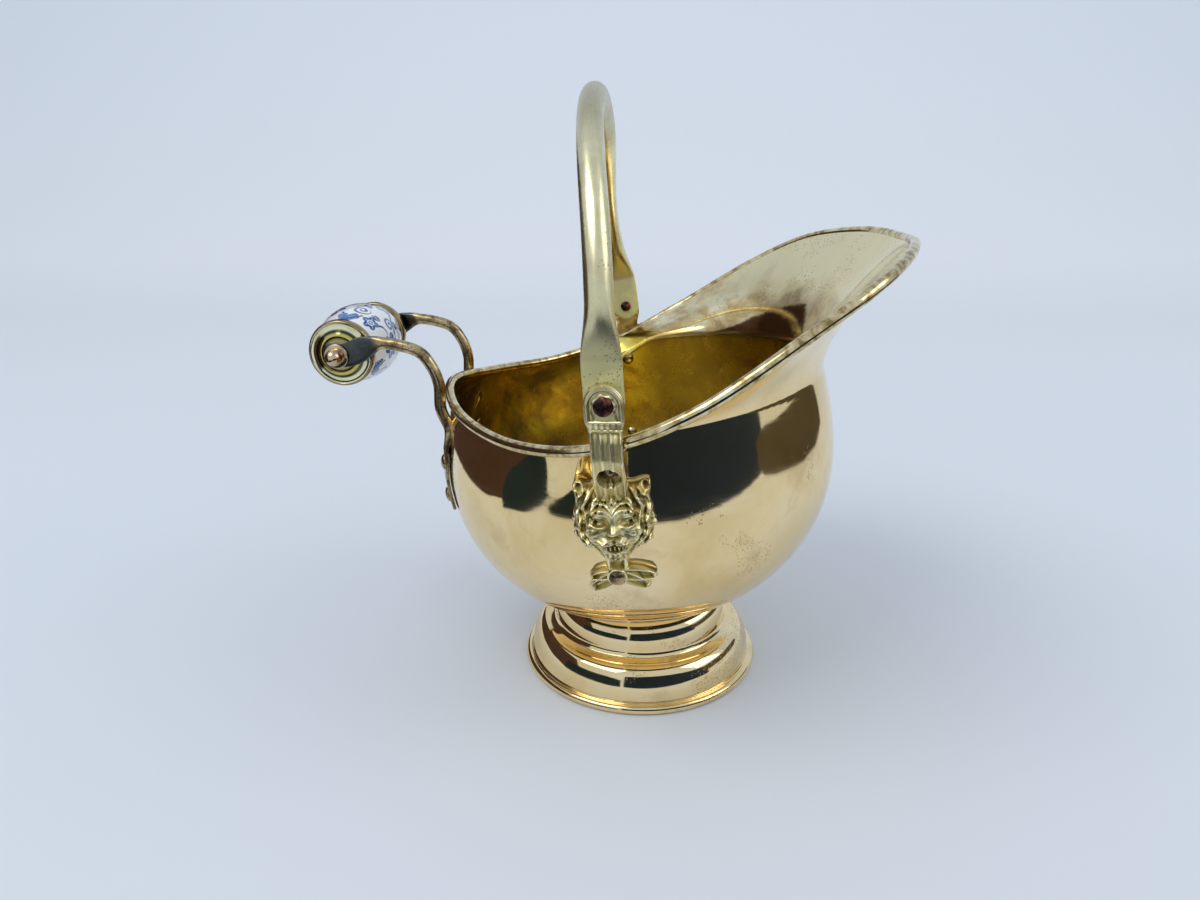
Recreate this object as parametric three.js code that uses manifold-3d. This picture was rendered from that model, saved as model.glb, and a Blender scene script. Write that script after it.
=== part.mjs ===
// A helmet coal scuttle: a spun bowl that leans back on its foot and opens into a wide pouring
// mouth, carried by a hooped bail between two lion masks and tipped by a porcelain grip behind.
// Millimetres, +Z up, +X towards the mouth, and the two sides mirror each other across Y = 0.
import * as THREE from "three";
import { mergeVertices } from "three/addons/utils/BufferGeometryUtils.js";
import Module from "manifold-3d";

const wasm = await Module();
wasm.setup();

// ---------------------------------------------------------------- driving dimensions

const seatGap = 0.3; // between pieces that rest on each other
const rivetPlay = 0.3; // between a shank and the hole that it passes through
const tailPlay = 0.7; // under a rivet's closed tail, where the wall curves

// bowl: a body of revolution about its own axis, which leans back
const sheet = 1.3;
const bowlRadius = 84.6;
const bowlDepth = 74.5; // from the bottom to the widest ring, from which heights above are taken
const bowlFullness = 2.11; // 2 would be a plain ellipse
const bowlLean = THREE.MathUtils.degToRad(6.84);
const bowlSeatX = 7.5; // where its lowest point stands, ahead of the middle of the foot
const bowlSeatHeight = 30.4;
const neckRadius = 81.6;
const neckRise = 30.7; // from the widest ring to the neck
const leastFlare = 9; // from the neck, or where it would be, to the edge of the mouth
const flareCurve = 1.6; // 1 would be a straight cone from the neck to the mouth

// mouth: the stations that its edge passes through, from the spout's tip round to the heel,
// each at its rise over the bowl's widest ring
const spoutReach = 106;
const spoutRise = 89.1;
const spoutCornerX = 98;
const spoutCornerHalfWidth = 40;
const cheekX = 78;
const cheekHalfWidth = 77.7;
const cheekRise = 81.9;
const flankX = 54;
const flankHalfWidth = 93.3;
const flankRise = 68;
const mouthHalfWidth = 102.3;
const mouthWidestX = 18;
const mouthWidestRise = 44.7;
const bailStationX = -12;
const bailStationHalfWidth = 93.5;
const bailStationRise = 29.8;
const hipX = -45;
const hipHalfWidth = 70;
const hipRise = 22.4;
const heelCornerX = -72;
const heelCornerHalfWidth = 38;
const heelCornerRise = 24.1;
const heelReach = 83.8;
const heelRise = 28.1;
const edgeBeadRadius = 2.1;

// foot: a spun skirt with a rolled bead, turned in to a neck that carries the bowl
const footRadius = 55;
const footBeadRadius = 2;
const footSheet = 1.2;
const skirtRadius = 51.8; // where it meets the bead
const skirtShoulderRadius = 44;
const skirtShoulderHeight = 18.6;
const footNeckRadius = 39.6;
const footNeckHeight = 20.9; // where the neck rises from the ledge

// bail: a bent tube with flattened, drilled ends
const bailTube = 9.5;
const bailHalfSpan = 93.4; // to the middle of a leg
const bailRise = 98.5; // from its pivots to the middle of the tube at the top
const bailLean = THREE.MathUtils.degToRad(4.9);
const bailFlatWidth = 13.6;
const bailFlatThickness = 2.4;
const bailFlatLength = 15.3; // from the pivot to where the flat turns into a tube
const bailSwell = 17; // over which the flat widens out of the round tube
const pivotX = -10.5;
const pivotAboveRing = 46.1;

// lion mounts: a strap with an ear for the bail above, a mask and a knotted ribbon below
const mountFootX = -6.4; // its lower rivet
const mountFootBelowRing = 20.9;
const earRadius = 6.7;
const earThickness = 3.8;
const earTwist = THREE.MathUtils.degToRad(10); // turned a little to the back, as the mouth is
const earRecessRadius = 5.1;
const earRecessDepth = 1;
const strapWidth = 11;
const strapThickness = 3;
const foreheadRise = 41; // from the lower rivet to the upper one
const maskRise = 21.5; // to the middle of the face
const maskHalfWidth = 14.4;
const maskHalfHeight = 15.5; // down to the chin
const maskEdge = 3.4; // how thick the casting is round its outline
const maskDome = 5.4; // how far the middle of the face stands in front of that
const maskBrowHeight = 18.5; // from the middle of the face to the top of the brow
const ribbonThickness = 3.6;

// rear handle
const gripX = -124;
const gripAboveRing = 45.4;
const gripLength = 45.4;
const gripRadius = 16.3;
const gripEndRadius = 11.8;
const cupRadius = 13.8;
const cupBead = 1;
const cupLip = 2.6; // how far the rim reaches over the porcelain
const cupSheet = 1;
const cupBulge = 2.2; // from the porcelain's end to the inside of the cup
const throughRod = 4;
const gripPlay = 0.35; // round the rod
const armHalfSpan = 27.4; // from the middle plane to the middle of each arm
const armRod = 4.8;
const armFlatThickness = 1.8;
const armFlatWidth = 10;
const armFlatEnd = 4.6; // from the rod's middle to the square end
const armFlatStart = 20; // from the rod's middle to where the flat turns round
const armPlateWidth = 10.6;
const armPlateThickness = 1.4;
const armPlateBelowRing = 20.4; // down to its square foot
const armPlateLength = 39.5;
const armRivetInset = 5.9; // from the foot to the lower rivet
const armRivetPitch = 14.5;
const ballRadius = 3.4;
const ballFlangeRadius = 5;
const ballFlangeThickness = 1.2;

// rivets
const pivotRivet = { shank: 4.4, head: 6.6, rise: 2 };
const maskRivet = { shank: 4, head: 7.2, rise: 1.8 };
const ribbonRivet = { shank: 3.4, head: 6, rise: 1.8 };
const armRivet = { shank: 3, head: 6.4, rise: 1.4 };

// ---------------------------------------------------------------- heights that follow from these

const ringHeight = bowlSeatHeight + bowlDepth;
const pivotHeight = ringHeight + pivotAboveRing;
const mountFootHeight = ringHeight - mountFootBelowRing;
const mountLean = Math.atan2(mountFootX - pivotX, pivotHeight - mountFootHeight);
const gripHeight = ringHeight + gripAboveRing;
const armPlateFoot = ringHeight - armPlateBelowRing;
const armPlateTop = armPlateFoot + armPlateLength;
const armRivetLow = armPlateFoot + armRivetInset;
const armRivetHigh = armRivetLow + armRivetPitch;

// ---------------------------------------------------------------- finishes

function metal(color, roughness) {
  return new THREE.MeshStandardMaterial({ color, roughness, metalness: 1 });
}

const polishedBrass = metal(0xc9ab5e, 0.16);
const dullBrass = metal(0x9a8148, 0.38);
const castBrass = metal(0xbfa25a, 0.32);
const copper = metal(0x7a4632, 0.45);
const darkBrass = metal(0x5f4f2c, 0.45);
const porcelain = new THREE.MeshStandardMaterial({ color: 0xe4e6e2, roughness: 0.12, metalness: 0 });

// ---------------------------------------------------------------- solids

// A closed geometry as a solid that can be joined and cut.
function solidOf(geometry) {
  const bare = geometry.clone();
  bare.deleteAttribute("normal");
  bare.deleteAttribute("uv");
  const merged = mergeVertices(bare, 1e-4);
  return new wasm.Manifold(
    new wasm.Mesh({
      numProp: 3,
      vertProperties: new Float32Array(merged.attributes.position.array),
      triVerts: new Uint32Array(merged.index.array),
    }),
  );
}

function geometryOf(solid) {
  const mesh = solid.getMesh();
  const geometry = new THREE.BufferGeometry();
  geometry.setAttribute("position", new THREE.BufferAttribute(mesh.vertProperties, 3));
  geometry.setIndex(new THREE.BufferAttribute(mesh.triVerts, 1));
  const shaded = geometry.toNonIndexed();
  shaded.computeVertexNormals();
  return shaded;
}

function joined(solids) {
  return solids.reduce((whole, solid) => whole.add(solid));
}

// A profile of [radius, height] pairs turned about Z. It runs up the outside.
function turned(profile, segments) {
  const points = profile.map(([radius, height]) => new THREE.Vector2(radius, height));
  return new THREE.LatheGeometry(points, segments).rotateX(Math.PI / 2);
}

// A lathe whose every column follows a profile of its own: place(column, row) gives each point.
function shapedLathe(rows, columns, place) {
  const blank = Array.from({ length: rows }, (_, row) => new THREE.Vector2(1, row));
  const geometry = new THREE.LatheGeometry(blank, columns);
  const positions = geometry.attributes.position;
  for (let column = 0; column <= columns; column++) {
    for (let row = 0; row < rows; row++) {
      const point = place(column % columns, row);
      positions.setXYZ(column * rows + row, point.x, point.y, point.z);
    }
  }
  geometry.computeVertexNormals();
  return geometry;
}

// A flat outline, drawn in X and Y, made into a plate that is centred on Z = 0.
function plate(outline, thickness, curveSegments = 10) {
  const options = { depth: thickness, bevelEnabled: false, curveSegments };
  return new THREE.ExtrudeGeometry(outline, options).translate(0, 0, -thickness / 2);
}

function disc(radius, thickness, segments) {
  return new THREE.CylinderGeometry(radius, radius, thickness, segments).rotateX(Math.PI / 2);
}

// A tongue from the origin along +Y, with its end at the origin rounded.
function tongueOutline(width, length) {
  const outline = new THREE.Shape();
  outline.moveTo(width / 2, 0);
  outline.lineTo(width / 2, length);
  outline.lineTo(-width / 2, length);
  outline.lineTo(-width / 2, 0);
  outline.absarc(0, 0, width / 2, Math.PI, 2 * Math.PI, false);
  return outline;
}

// Turns a geometry whose axis is Z so that it points along a direction from a place.
function aimed(geometry, place, direction) {
  const up = new THREE.Vector3(0, 0, 1);
  const turn = new THREE.Quaternion().setFromUnitVectors(up, direction);
  return geometry.applyQuaternion(turn).translate(place.x, place.y, place.z);
}

// ---------------------------------------------------------------- the leaning bowl

const bowlPlace = new THREE.Matrix4().compose(
  new THREE.Vector3(bowlSeatX, 0, bowlSeatHeight),
  new THREE.Quaternion().setFromAxisAngle(new THREE.Vector3(0, 1, 0), -bowlLean),
  new THREE.Vector3(1, 1, 1),
);
const intoBowl = bowlPlace.clone().invert();

const stations = [
  [spoutCornerX, spoutCornerHalfWidth, spoutRise],
  [cheekX, cheekHalfWidth, cheekRise],
  [flankX, flankHalfWidth, flankRise],
  [mouthWidestX, mouthHalfWidth, mouthWidestRise],
  [bailStationX, bailStationHalfWidth, bailStationRise],
  [hipX, hipHalfWidth, hipRise],
  [heelCornerX, heelCornerHalfWidth, heelCornerRise],
];
const leftStations = stations.map(([x, y, rise]) => new THREE.Vector3(x, y, ringHeight + rise));
const rightStations = leftStations.map(({ x, y, z }) => new THREE.Vector3(x, -y, z)).reverse();
const mouthEdge = new THREE.CatmullRomCurve3(
  [
    new THREE.Vector3(spoutReach, 0, ringHeight + spoutRise),
    ...leftStations,
    new THREE.Vector3(-heelReach, 0, ringHeight + heelRise),
    ...rightStations,
  ],
  true,
  "centripetal",
);

// Where the edge of the mouth lies in the bowl's own frame, looked up by the angle round its axis.
const edgeSamples = mouthEdge.getPoints(1440).map((point) => {
  const local = point.clone().applyMatrix4(intoBowl);
  return {
    angle: Math.abs(Math.atan2(local.y, local.x)),
    reach: Math.hypot(local.x, local.y),
    height: local.z,
  };
});

function edgeAt(angle) {
  const wanted = Math.abs(angle);
  return edgeSamples.reduce((best, sample) =>
    Math.abs(sample.angle - wanted) < Math.abs(best.angle - wanted) ? sample : best,
  );
}

const neckHeight = bowlDepth + neckRise;
const flareFrom = THREE.MathUtils.degToRad(80); // round to here the flare springs from the neck
const flareUntil = THREE.MathUtils.degToRad(120); // and from here on it starts at the widest ring

function bulbRadius(height) {
  if (height < bowlDepth) {
    const fall = (bowlDepth - height) / bowlDepth;
    return bowlRadius * (1 - fall ** bowlFullness) ** (1 / bowlFullness);
  }
  const rise = Math.min(1, (height - bowlDepth) / neckRise);
  return bowlRadius - (bowlRadius - neckRadius) * rise ** 2;
}

function flareStart(angle) {
  const round = THREE.MathUtils.smoothstep(Math.abs(angle), flareFrom, flareUntil);
  return THREE.MathUtils.lerp(neckHeight, bowlDepth, round);
}

// The bowl's outside radius in one column: the bulb, and above it the spread of the flare.
function flaredRadius(angle, edge, height) {
  const start = flareStart(angle);
  const share = THREE.MathUtils.clamp((height - start) / (edge.height - start), 0, 1);
  const spread = edge.reach - bulbRadius(edge.height);
  return bulbRadius(height) + spread * share ** flareCurve;
}

function wallRadius(angle, height) {
  return flaredRadius(angle, edgeAt(angle), height);
}

// A spot on the bowl's outside, found along a level line from the bowl's axis, and the way it faces.
function bowlSpot(start, heading) {
  let near = 0;
  let far = 2 * bowlRadius;
  for (let step = 0; step < 40; step++) {
    const middle = (near + far) / 2;
    const local = start.clone().addScaledVector(heading, middle).applyMatrix4(intoBowl);
    const inside = Math.hypot(local.x, local.y) < wallRadius(Math.atan2(local.y, local.x), local.z);
    if (inside) near = middle;
    else far = middle;
  }
  const place = start.clone().addScaledVector(heading, near);
  const local = place.clone().applyMatrix4(intoBowl);
  const angle = Math.atan2(local.y, local.x);
  const slope = (wallRadius(angle, local.z + 1) - wallRadius(angle, local.z - 1)) / 2;
  const facing = new THREE.Vector3(Math.cos(angle), Math.sin(angle), -slope);
  return { place, facing: facing.transformDirection(bowlPlace) };
}

const bowlColumns = 60;
const bulbRows = 7;
const shoulderRows = 2;
const flareRows = 4;

// The outside of the bowl in one column, from its bottom up to the bead, as [radius, height].
function outsideProfile(column) {
  const point = mouthEdge.getPoint(column / bowlColumns).applyMatrix4(intoBowl);
  const angle = Math.atan2(point.y, point.x);
  const edge = { reach: Math.hypot(point.x, point.y), height: point.z };
  const neck = Math.min(neckHeight, edge.height - leastFlare);
  // The sheet stops short of the middle of the bead by the bead's radius and a gap.
  let last = 1;
  const shortfall = (share) => {
    const height = THREE.MathUtils.lerp(neck, edge.height, share);
    return Math.hypot(edge.reach - flaredRadius(angle, edge, height), edge.height - height);
  };
  while (shortfall(last) < edgeBeadRadius + seatGap) last -= 0.002;
  const heights = [];
  for (let row = 0; row < bulbRows; row++) {
    heights.push(bowlDepth * (1 - Math.cos((row / bulbRows) * (Math.PI / 2))));
  }
  for (let row = 0; row < shoulderRows; row++) {
    heights.push(THREE.MathUtils.lerp(bowlDepth, neck, row / shoulderRows));
  }
  for (let row = 0; row <= flareRows; row++) {
    heights.push(THREE.MathUtils.lerp(neck, edge.height, (last * row) / flareRows));
  }
  return { angle, profile: heights.map((height) => [flaredRadius(angle, edge, height), height]) };
}

// Moves a profile along its own normals: outwards by a positive distance, inwards by a negative.
function offsetProfile(profile, distance) {
  return profile.map(([radius, height], row) => {
    if (row === 0) return [0, height - distance];
    const before = profile[row - 1];
    const after = profile[Math.min(row + 1, profile.length - 1)];
    const normal = new THREE.Vector2(after[1] - before[1], before[0] - after[0]).normalize();
    return [radius + distance * normal.x, height + distance * normal.y];
  });
}

function bowlPoint(angle, [radius, height]) {
  const local = new THREE.Vector3(radius * Math.cos(angle), radius * Math.sin(angle), height);
  return local.applyMatrix4(bowlPlace);
}

const outsides = Array.from({ length: bowlColumns }, (_, column) => outsideProfile(column));

function bowlShell() {
  const walls = outsides.map(({ angle, profile }) => ({
    angle,
    wall: [...profile, ...offsetProfile(profile, -sheet).reverse()],
  }));
  const rows = walls[0].wall.length;
  return shapedLathe(rows, bowlColumns, (column, row) =>
    bowlPoint(walls[column].angle, walls[column].wall[row]),
  );
}

// The space that the bowl fills, its hollow included, grown by a clearance.
function bowlBlock(clearance) {
  const walls = outsides.map(({ angle, profile }) => ({
    angle,
    wall: [...offsetProfile(profile, clearance), [0, neckHeight]],
  }));
  const rows = walls[0].wall.length;
  return solidOf(
    shapedLathe(rows, bowlColumns, (column, row) =>
      bowlPoint(walls[column].angle, walls[column].wall[row]),
    ),
  );
}

// The bead round the mouth: a round section carried along the edge, upright all the way.
function mouthBead() {
  const sides = 8;
  return shapedLathe(sides + 1, bowlColumns, (column, row) => {
    const middle = mouthEdge.getPoint(column / bowlColumns);
    const along = mouthEdge.getTangent(column / bowlColumns);
    const outward = new THREE.Vector3(along.y, -along.x, 0).normalize();
    const upward = new THREE.Vector3().crossVectors(outward, along);
    const turn = ((row % sides) / sides) * 2 * Math.PI;
    return middle
      .addScaledVector(outward, edgeBeadRadius * Math.cos(turn))
      .addScaledVector(upward, edgeBeadRadius * Math.sin(turn));
  });
}

// ---------------------------------------------------------------- foot

function footShell(block) {
  const bead = [];
  const beadMiddle = footRadius - footBeadRadius;
  for (let step = 0; step <= 5; step++) {
    const turn = THREE.MathUtils.degToRad(-90 + step * 39);
    bead.push([
      beadMiddle + footBeadRadius * Math.cos(turn),
      footBeadRadius + footBeadRadius * Math.sin(turn),
    ]);
  }
  const skirt = [];
  const skirtFoot = 2 * footBeadRadius - 0.2;
  for (let step = 0; step <= 4; step++) {
    const turn = (step / 4) * (Math.PI / 2);
    skirt.push([
      skirtShoulderRadius + (skirtRadius - skirtShoulderRadius) * Math.cos(turn) ** 0.9,
      skirtFoot + (skirtShoulderHeight - skirtFoot) * Math.sin(turn) ** 1.15,
    ]);
  }
  const neckTop = bowlSeatHeight + 14;
  const outside = [
    ...bead,
    ...skirt,
    [footNeckRadius + 1.2, footNeckHeight - 1.2],
    [footNeckRadius, footNeckHeight + 0.6],
    [footNeckRadius, neckTop],
  ];
  const inside = [
    [footNeckRadius - footSheet, neckTop],
    [footNeckRadius - footSheet, footNeckHeight - 1],
    [skirtShoulderRadius - 0.6, skirtShoulderHeight - footSheet - 0.5],
    [skirt[2][0] - footSheet, skirt[2][1] - 0.3],
    [skirt[1][0] - footSheet, skirt[1][1] - 0.3],
    [beadMiddle - footBeadRadius, footBeadRadius],
    [beadMiddle - 1.5, 0],
  ];
  const closed = [...outside, ...inside];
  return geometryOf(solidOf(turned([...closed, closed[0]], 40)).subtract(block));
}

// ---------------------------------------------------------------- rivets

// A rivet along Z: its domed outer head sits on z = 0 and its tail is closed over at -length.
function rivetGeometry({ shank, head, rise }, length) {
  const tail = 0.8 * head;
  const play = seatGap;
  const profile = [
    [0, -length - tailPlay - 0.7 * rise],
    [0.3 * tail, -length - tailPlay - 0.55 * rise],
    [0.5 * tail, -length - tailPlay],
    [shank / 2, -length - tailPlay],
    [shank / 2, play],
    [0.5 * head, play],
    [0.42 * head, play + 0.55 * rise],
    [0.22 * head, play + 0.92 * rise],
    [0, play + rise],
  ];
  return turned(profile, 10);
}

function holeFor(rivet, place, direction, length) {
  const hole = disc(rivet.shank / 2 + rivetPlay, length, 8);
  return solidOf(aimed(hole, place, direction));
}

// ---------------------------------------------------------------- bail

function bailGeometry() {
  const arcRise = bailRise - bailFlatLength;
  const points = [];
  const arcSteps = 24;
  for (let step = 0; step <= arcSteps; step++) {
    const turn = (step / arcSteps) * Math.PI;
    const y = bailHalfSpan * Math.cos(turn);
    points.push(new THREE.Vector3(0, y, bailFlatLength + arcRise * Math.sin(turn)));
  }
  points.unshift(new THREE.Vector3(0, bailHalfSpan, 0));
  points.push(new THREE.Vector3(0, -bailHalfSpan, 0));
  const path = new THREE.CatmullRomCurve3(points, false, "centripetal");
  const section = new THREE.Shape();
  const sides = 10;
  for (let side = 0; side < sides; side++) {
    const turn = (side / sides) * 2 * Math.PI;
    const x = (bailTube / 2) * Math.cos(turn);
    const y = (bailTube / 2) * Math.sin(turn);
    if (side === 0) section.moveTo(x, y);
    else section.lineTo(x, y);
  }
  const options = { steps: 44, extrudePath: path, bevelEnabled: false };
  const tube = new THREE.ExtrudeGeometry(section, options);
  // The ends are hammered flat: narrower across, wider along the scuttle.
  const positions = tube.attributes.position;
  for (let i = 0; i < positions.count; i++) {
    const height = positions.getZ(i);
    if (height > bailFlatLength + bailSwell) continue;
    const round = THREE.MathUtils.smoothstep(height, bailFlatLength - 1, bailFlatLength + bailSwell);
    const middle = Math.sign(positions.getY(i)) * bailHalfSpan;
    const across = THREE.MathUtils.lerp(bailFlatThickness / bailTube, 1, round ** 0.6);
    const along = THREE.MathUtils.lerp(bailFlatWidth / bailTube, 1, round ** 0.7);
    positions.setY(i, middle + (positions.getY(i) - middle) * across);
    positions.setX(i, positions.getX(i) * along);
  }
  const ends = [1, -1].map((side) => {
    const tongue = plate(tongueOutline(bailFlatWidth, bailFlatLength), bailFlatThickness);
    return solidOf(tongue.rotateX(Math.PI / 2).translate(0, side * bailHalfSpan, 0));
  });
  const outwards = new THREE.Vector3(0, 1, 0);
  const bore = holeFor(pivotRivet, new THREE.Vector3(), outwards, 4 * bailHalfSpan);
  return geometryOf(joined([solidOf(tube), ...ends]).subtract(bore));
}

// ---------------------------------------------------------------- lion mounts, for the right side

// In a mount's own frame X runs along the scuttle, Y up its axis and Z out from the middle plane.
const mountPlace = new THREE.Matrix4()
  .makeBasis(
    new THREE.Vector3(Math.cos(mountLean), 0, Math.sin(mountLean)),
    new THREE.Vector3(-Math.sin(mountLean), 0, Math.cos(mountLean)),
    new THREE.Vector3(0, -1, 0),
  )
  .setPosition(mountFootX, 0, mountFootHeight);
const pivotRise = Math.hypot(mountFootX - pivotX, pivotHeight - mountFootHeight);
const strapInside =
  bailHalfSpan + bailFlatThickness / 2 + seatGap + (bailFlatWidth / 2) * Math.tan(earTwist);
const maskGround = bowlRadius - 1.6; // deeper than the bowl's side anywhere behind the mask

// A soft bump of height one in the middle that dies away over its width and height.
function bump(x, y, middleX, middleY, width, height) {
  return Math.exp(-(((x - middleX) / width) ** 2) - ((y - middleY) / height) ** 2);
}

// How far out the mask reaches in each direction: a rounded face, two ears and the locks between.
function maskReach(turn) {
  const across = Math.abs(Math.cos(turn));
  const up = Math.sin(turn);
  const face = 1 / Math.hypot(across / maskHalfWidth, up / (up > 0 ? maskBrowHeight : maskHalfHeight));
  const ear = 3.4 * bump(across, up, 0.66, 0.75, 0.14, 0.18);
  const temple = -1.8 * bump(across, up, 0.36, 0.93, 0.2, 0.12);
  const jaw = -2.4 * bump(across, up, 0.55, -0.83, 0.3, 0.3);
  const locks = 0.6 * Math.cos(13 * turn) * bump(up, 0, -0.1, 0, 0.6, 1);
  return face + ear + temple + jaw + locks;
}

// The features of the face, in front of its dome.
function maskFeatures(x, y) {
  const side = Math.abs(x);
  const brow = 1.9 * bump(side, y, 4.4, 7, 3.4, 1.9);
  const cheek = 1.3 * bump(side, y, 7, -2, 2.6, 4);
  const eye = -1.3 * bump(side, y, 4.6, 3.2, 2.2, 1.5);
  const nose = 3.4 * bump(x, y, 0, 0.4, 2.7, 4);
  const muzzle = 2.6 * bump(x, y, 0, -4.6, 5.6, 3.2);
  const mouth = -1.7 * bump(x, y, 0, -9.2, 4, 1.5);
  const chin = 1.5 * bump(x, y, 0, -12.6, 3.6, 1.9);
  const mane = 0.8 * Math.cos(2.2 * side + 0.4 * y) * bump(side, 0, 11.5, 0, 2.6, 1);
  return brow + cheek + eye + nose + muzzle + mouth + chin + mane;
}

// The mask as a lathe of its own: from the middle of the face out to the outline and round behind.
function maskGeometry() {
  const rings = 8;
  const directions = 36;
  return shapedLathe(rings + 3, directions, (column, row) => {
    if (row === 0) return new THREE.Vector3(0, maskRise, maskGround);
    const turn = (column / directions) * 2 * Math.PI;
    const share = row === 1 ? 1 : 1 - (row - 2) / rings;
    const x = share * maskReach(turn) * Math.cos(turn);
    const y = share * maskReach(turn) * Math.sin(turn);
    const edge = 2 + maskEdge * (1 - 0.4 * share ** 8);
    const face = maskDome * (1 - share ** 2.4) + maskFeatures(x, y) * (1 - share ** 8);
    const lift = row === 1 ? 0 : edge + face;
    return new THREE.Vector3(x, maskRise + y, maskGround + lift);
  });
}

// One loop or tail of the ribbon, as a leaf from the knot outwards.
function ribbonLeaf(length, width, turn) {
  const leaf = new THREE.Shape();
  leaf.moveTo(0, -width / 4);
  leaf.bezierCurveTo(length / 3, -width / 2, length * 0.8, -width / 2, length, -width / 5);
  leaf.bezierCurveTo(length, width / 5, length * 0.7, width / 2, length / 3, width / 2);
  leaf.lineTo(0, width / 4);
  const solid = plate(leaf, 60, 3).rotateZ(turn).translate(0, 0, bowlRadius);
  return solid.applyMatrix4(mountPlace);
}

// Where the strap crosses the bead, and how the mouth runs there: [rise, half width, slope].
function beadCrossing() {
  const points = mouthEdge.getPoints(1440).filter((point) => point.y > 0);
  const away = (point) => {
    const rise = (point.z - mountFootHeight) / Math.cos(mountLean);
    return Math.abs(point.x - mountFootX + rise * Math.sin(mountLean));
  };
  const index = points.reduce((best, point, i) => (away(point) < away(points[best]) ? i : best), 1);
  const before = points[index - 1];
  const after = points[index + 1];
  const rise = (points[index].z - mountFootHeight) / Math.cos(mountLean);
  return [rise, points[index].y, (after.y - before.y) / (after.x - before.x)];
}

// The strap leaves the brow, steps out over the bead and ends in the ear that holds the bail.
function strapGeometry() {
  const [beadRise, beadHalfWidth, beadSlope] = beadCrossing();
  const overBead = beadHalfWidth + edgeBeadRadius + 2 * seatGap;
  const top = pivotRise + earRadius + 1;
  const neck = pivotRise - earRadius;
  const side = new THREE.Shape();
  side.moveTo(maskGround, foreheadRise - 7);
  side.lineTo(overBead - 4, foreheadRise - 7);
  side.lineTo(overBead + strapThickness, beadRise - 4);
  side.lineTo(overBead + strapThickness, beadRise + 4);
  side.lineTo(strapInside + earThickness - 0.8, neck - 2);
  side.lineTo(strapInside + earThickness, neck);
  side.lineTo(strapInside + earThickness, top);
  side.lineTo(strapInside, top);
  side.lineTo(strapInside, neck);
  side.lineTo(overBead, beadRise + 3);
  side.lineTo(overBead, beadRise - 3.5);
  side.lineTo(maskGround, foreheadRise);
  // The side view is extruded across and cut to the front view.
  const bent = plate(side, 3 * earRadius).rotateY(-Math.PI / 2);
  const front = new THREE.Shape();
  front.moveTo(-strapWidth / 2, foreheadRise - 10);
  front.lineTo(strapWidth / 2, foreheadRise - 10);
  front.lineTo(strapWidth / 2, neck - 3);
  front.lineTo(earRadius, neck + 2);
  front.absarc(0, pivotRise, earRadius, 0, Math.PI, false);
  front.lineTo(-earRadius, neck + 2);
  front.lineTo(-strapWidth / 2, neck - 3);
  const outline = plate(front, 60, 6).translate(0, 0, strapInside);
  const fluteLength = neck - foreheadRise - 7;
  const flutes = [-1, 0, 1].map((place) => {
    const flute = new THREE.CylinderGeometry(1.6, 1.6, fluteLength, 8);
    const middle = foreheadRise + 5 + fluteLength / 2;
    return solidOf(flute.translate(3.4 * place, middle, overBead + strapThickness + 0.8));
  });
  const recess = plate(tongueOutline(2 * earRecessRadius, earRecessRadius), 2 * earRecessDepth, 6)
    .rotateZ(Math.PI)
    .translate(0, pivotRise, strapInside + earThickness);
  const strap = geometryOf(
    solidOf(bent).intersect(solidOf(outline)).subtract(joined([...flutes, solidOf(recess)])),
  );
  // It lies along the mouth where it crosses the bead, and turns back towards the ear.
  const positions = strap.attributes.position;
  const beadTwist = Math.atan(beadSlope);
  for (let i = 0; i < positions.count; i++) {
    const rise = positions.getY(i);
    const arrival = THREE.MathUtils.smoothstep(rise, foreheadRise - 4, beadRise - 3);
    const release = THREE.MathUtils.smoothstep(rise, beadRise + 3, neck + 1);
    const twist = arrival * THREE.MathUtils.lerp(beadTwist, earTwist, release);
    positions.setZ(i, positions.getZ(i) + positions.getX(i) * Math.tan(twist));
  }
  return strap;
}

// A rivet's place on the bowl beside the middle of a mount, and the way the wall faces there.
function mountSpot(rise) {
  const x = mountFootX - rise * Math.sin(mountLean);
  const z = mountFootHeight + rise * Math.cos(mountLean);
  return bowlSpot(new THREE.Vector3(x, 0, z), new THREE.Vector3(0, -1, 0));
}

// How far a casting's face stands off the bowl where a rivet passes through it.
const ribbonSeat = seatGap + ribbonThickness + 0.4;
const foreheadSeat = 5.6;
const ribbonSpot = mountSpot(0);
const foreheadSpot = mountSpot(foreheadRise);

// A round boss that fills up to a rivet's seat, and the round of space that clears above it.
function seatBoss(spot, rivet, seat) {
  const radius = rivet.head / 2 + 0.8;
  const middle = spot.place.clone().addScaledVector(spot.facing, (seat - 2) / 2);
  return solidOf(aimed(disc(radius, seat + 2, 16), middle, spot.facing));
}

function seatClearing(spot, rivet, seat) {
  const radius = rivet.head / 2 + 0.5;
  const middle = spot.place.clone().addScaledVector(spot.facing, seat + 5);
  return solidOf(aimed(disc(radius, 10, 16), middle, spot.facing));
}

const bowlGrown = bowlBlock(seatGap);
const pivotPlace = new THREE.Vector3(pivotX, -bailHalfSpan, pivotHeight);
const outwards = new THREE.Vector3(0, -1, 0);

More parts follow.
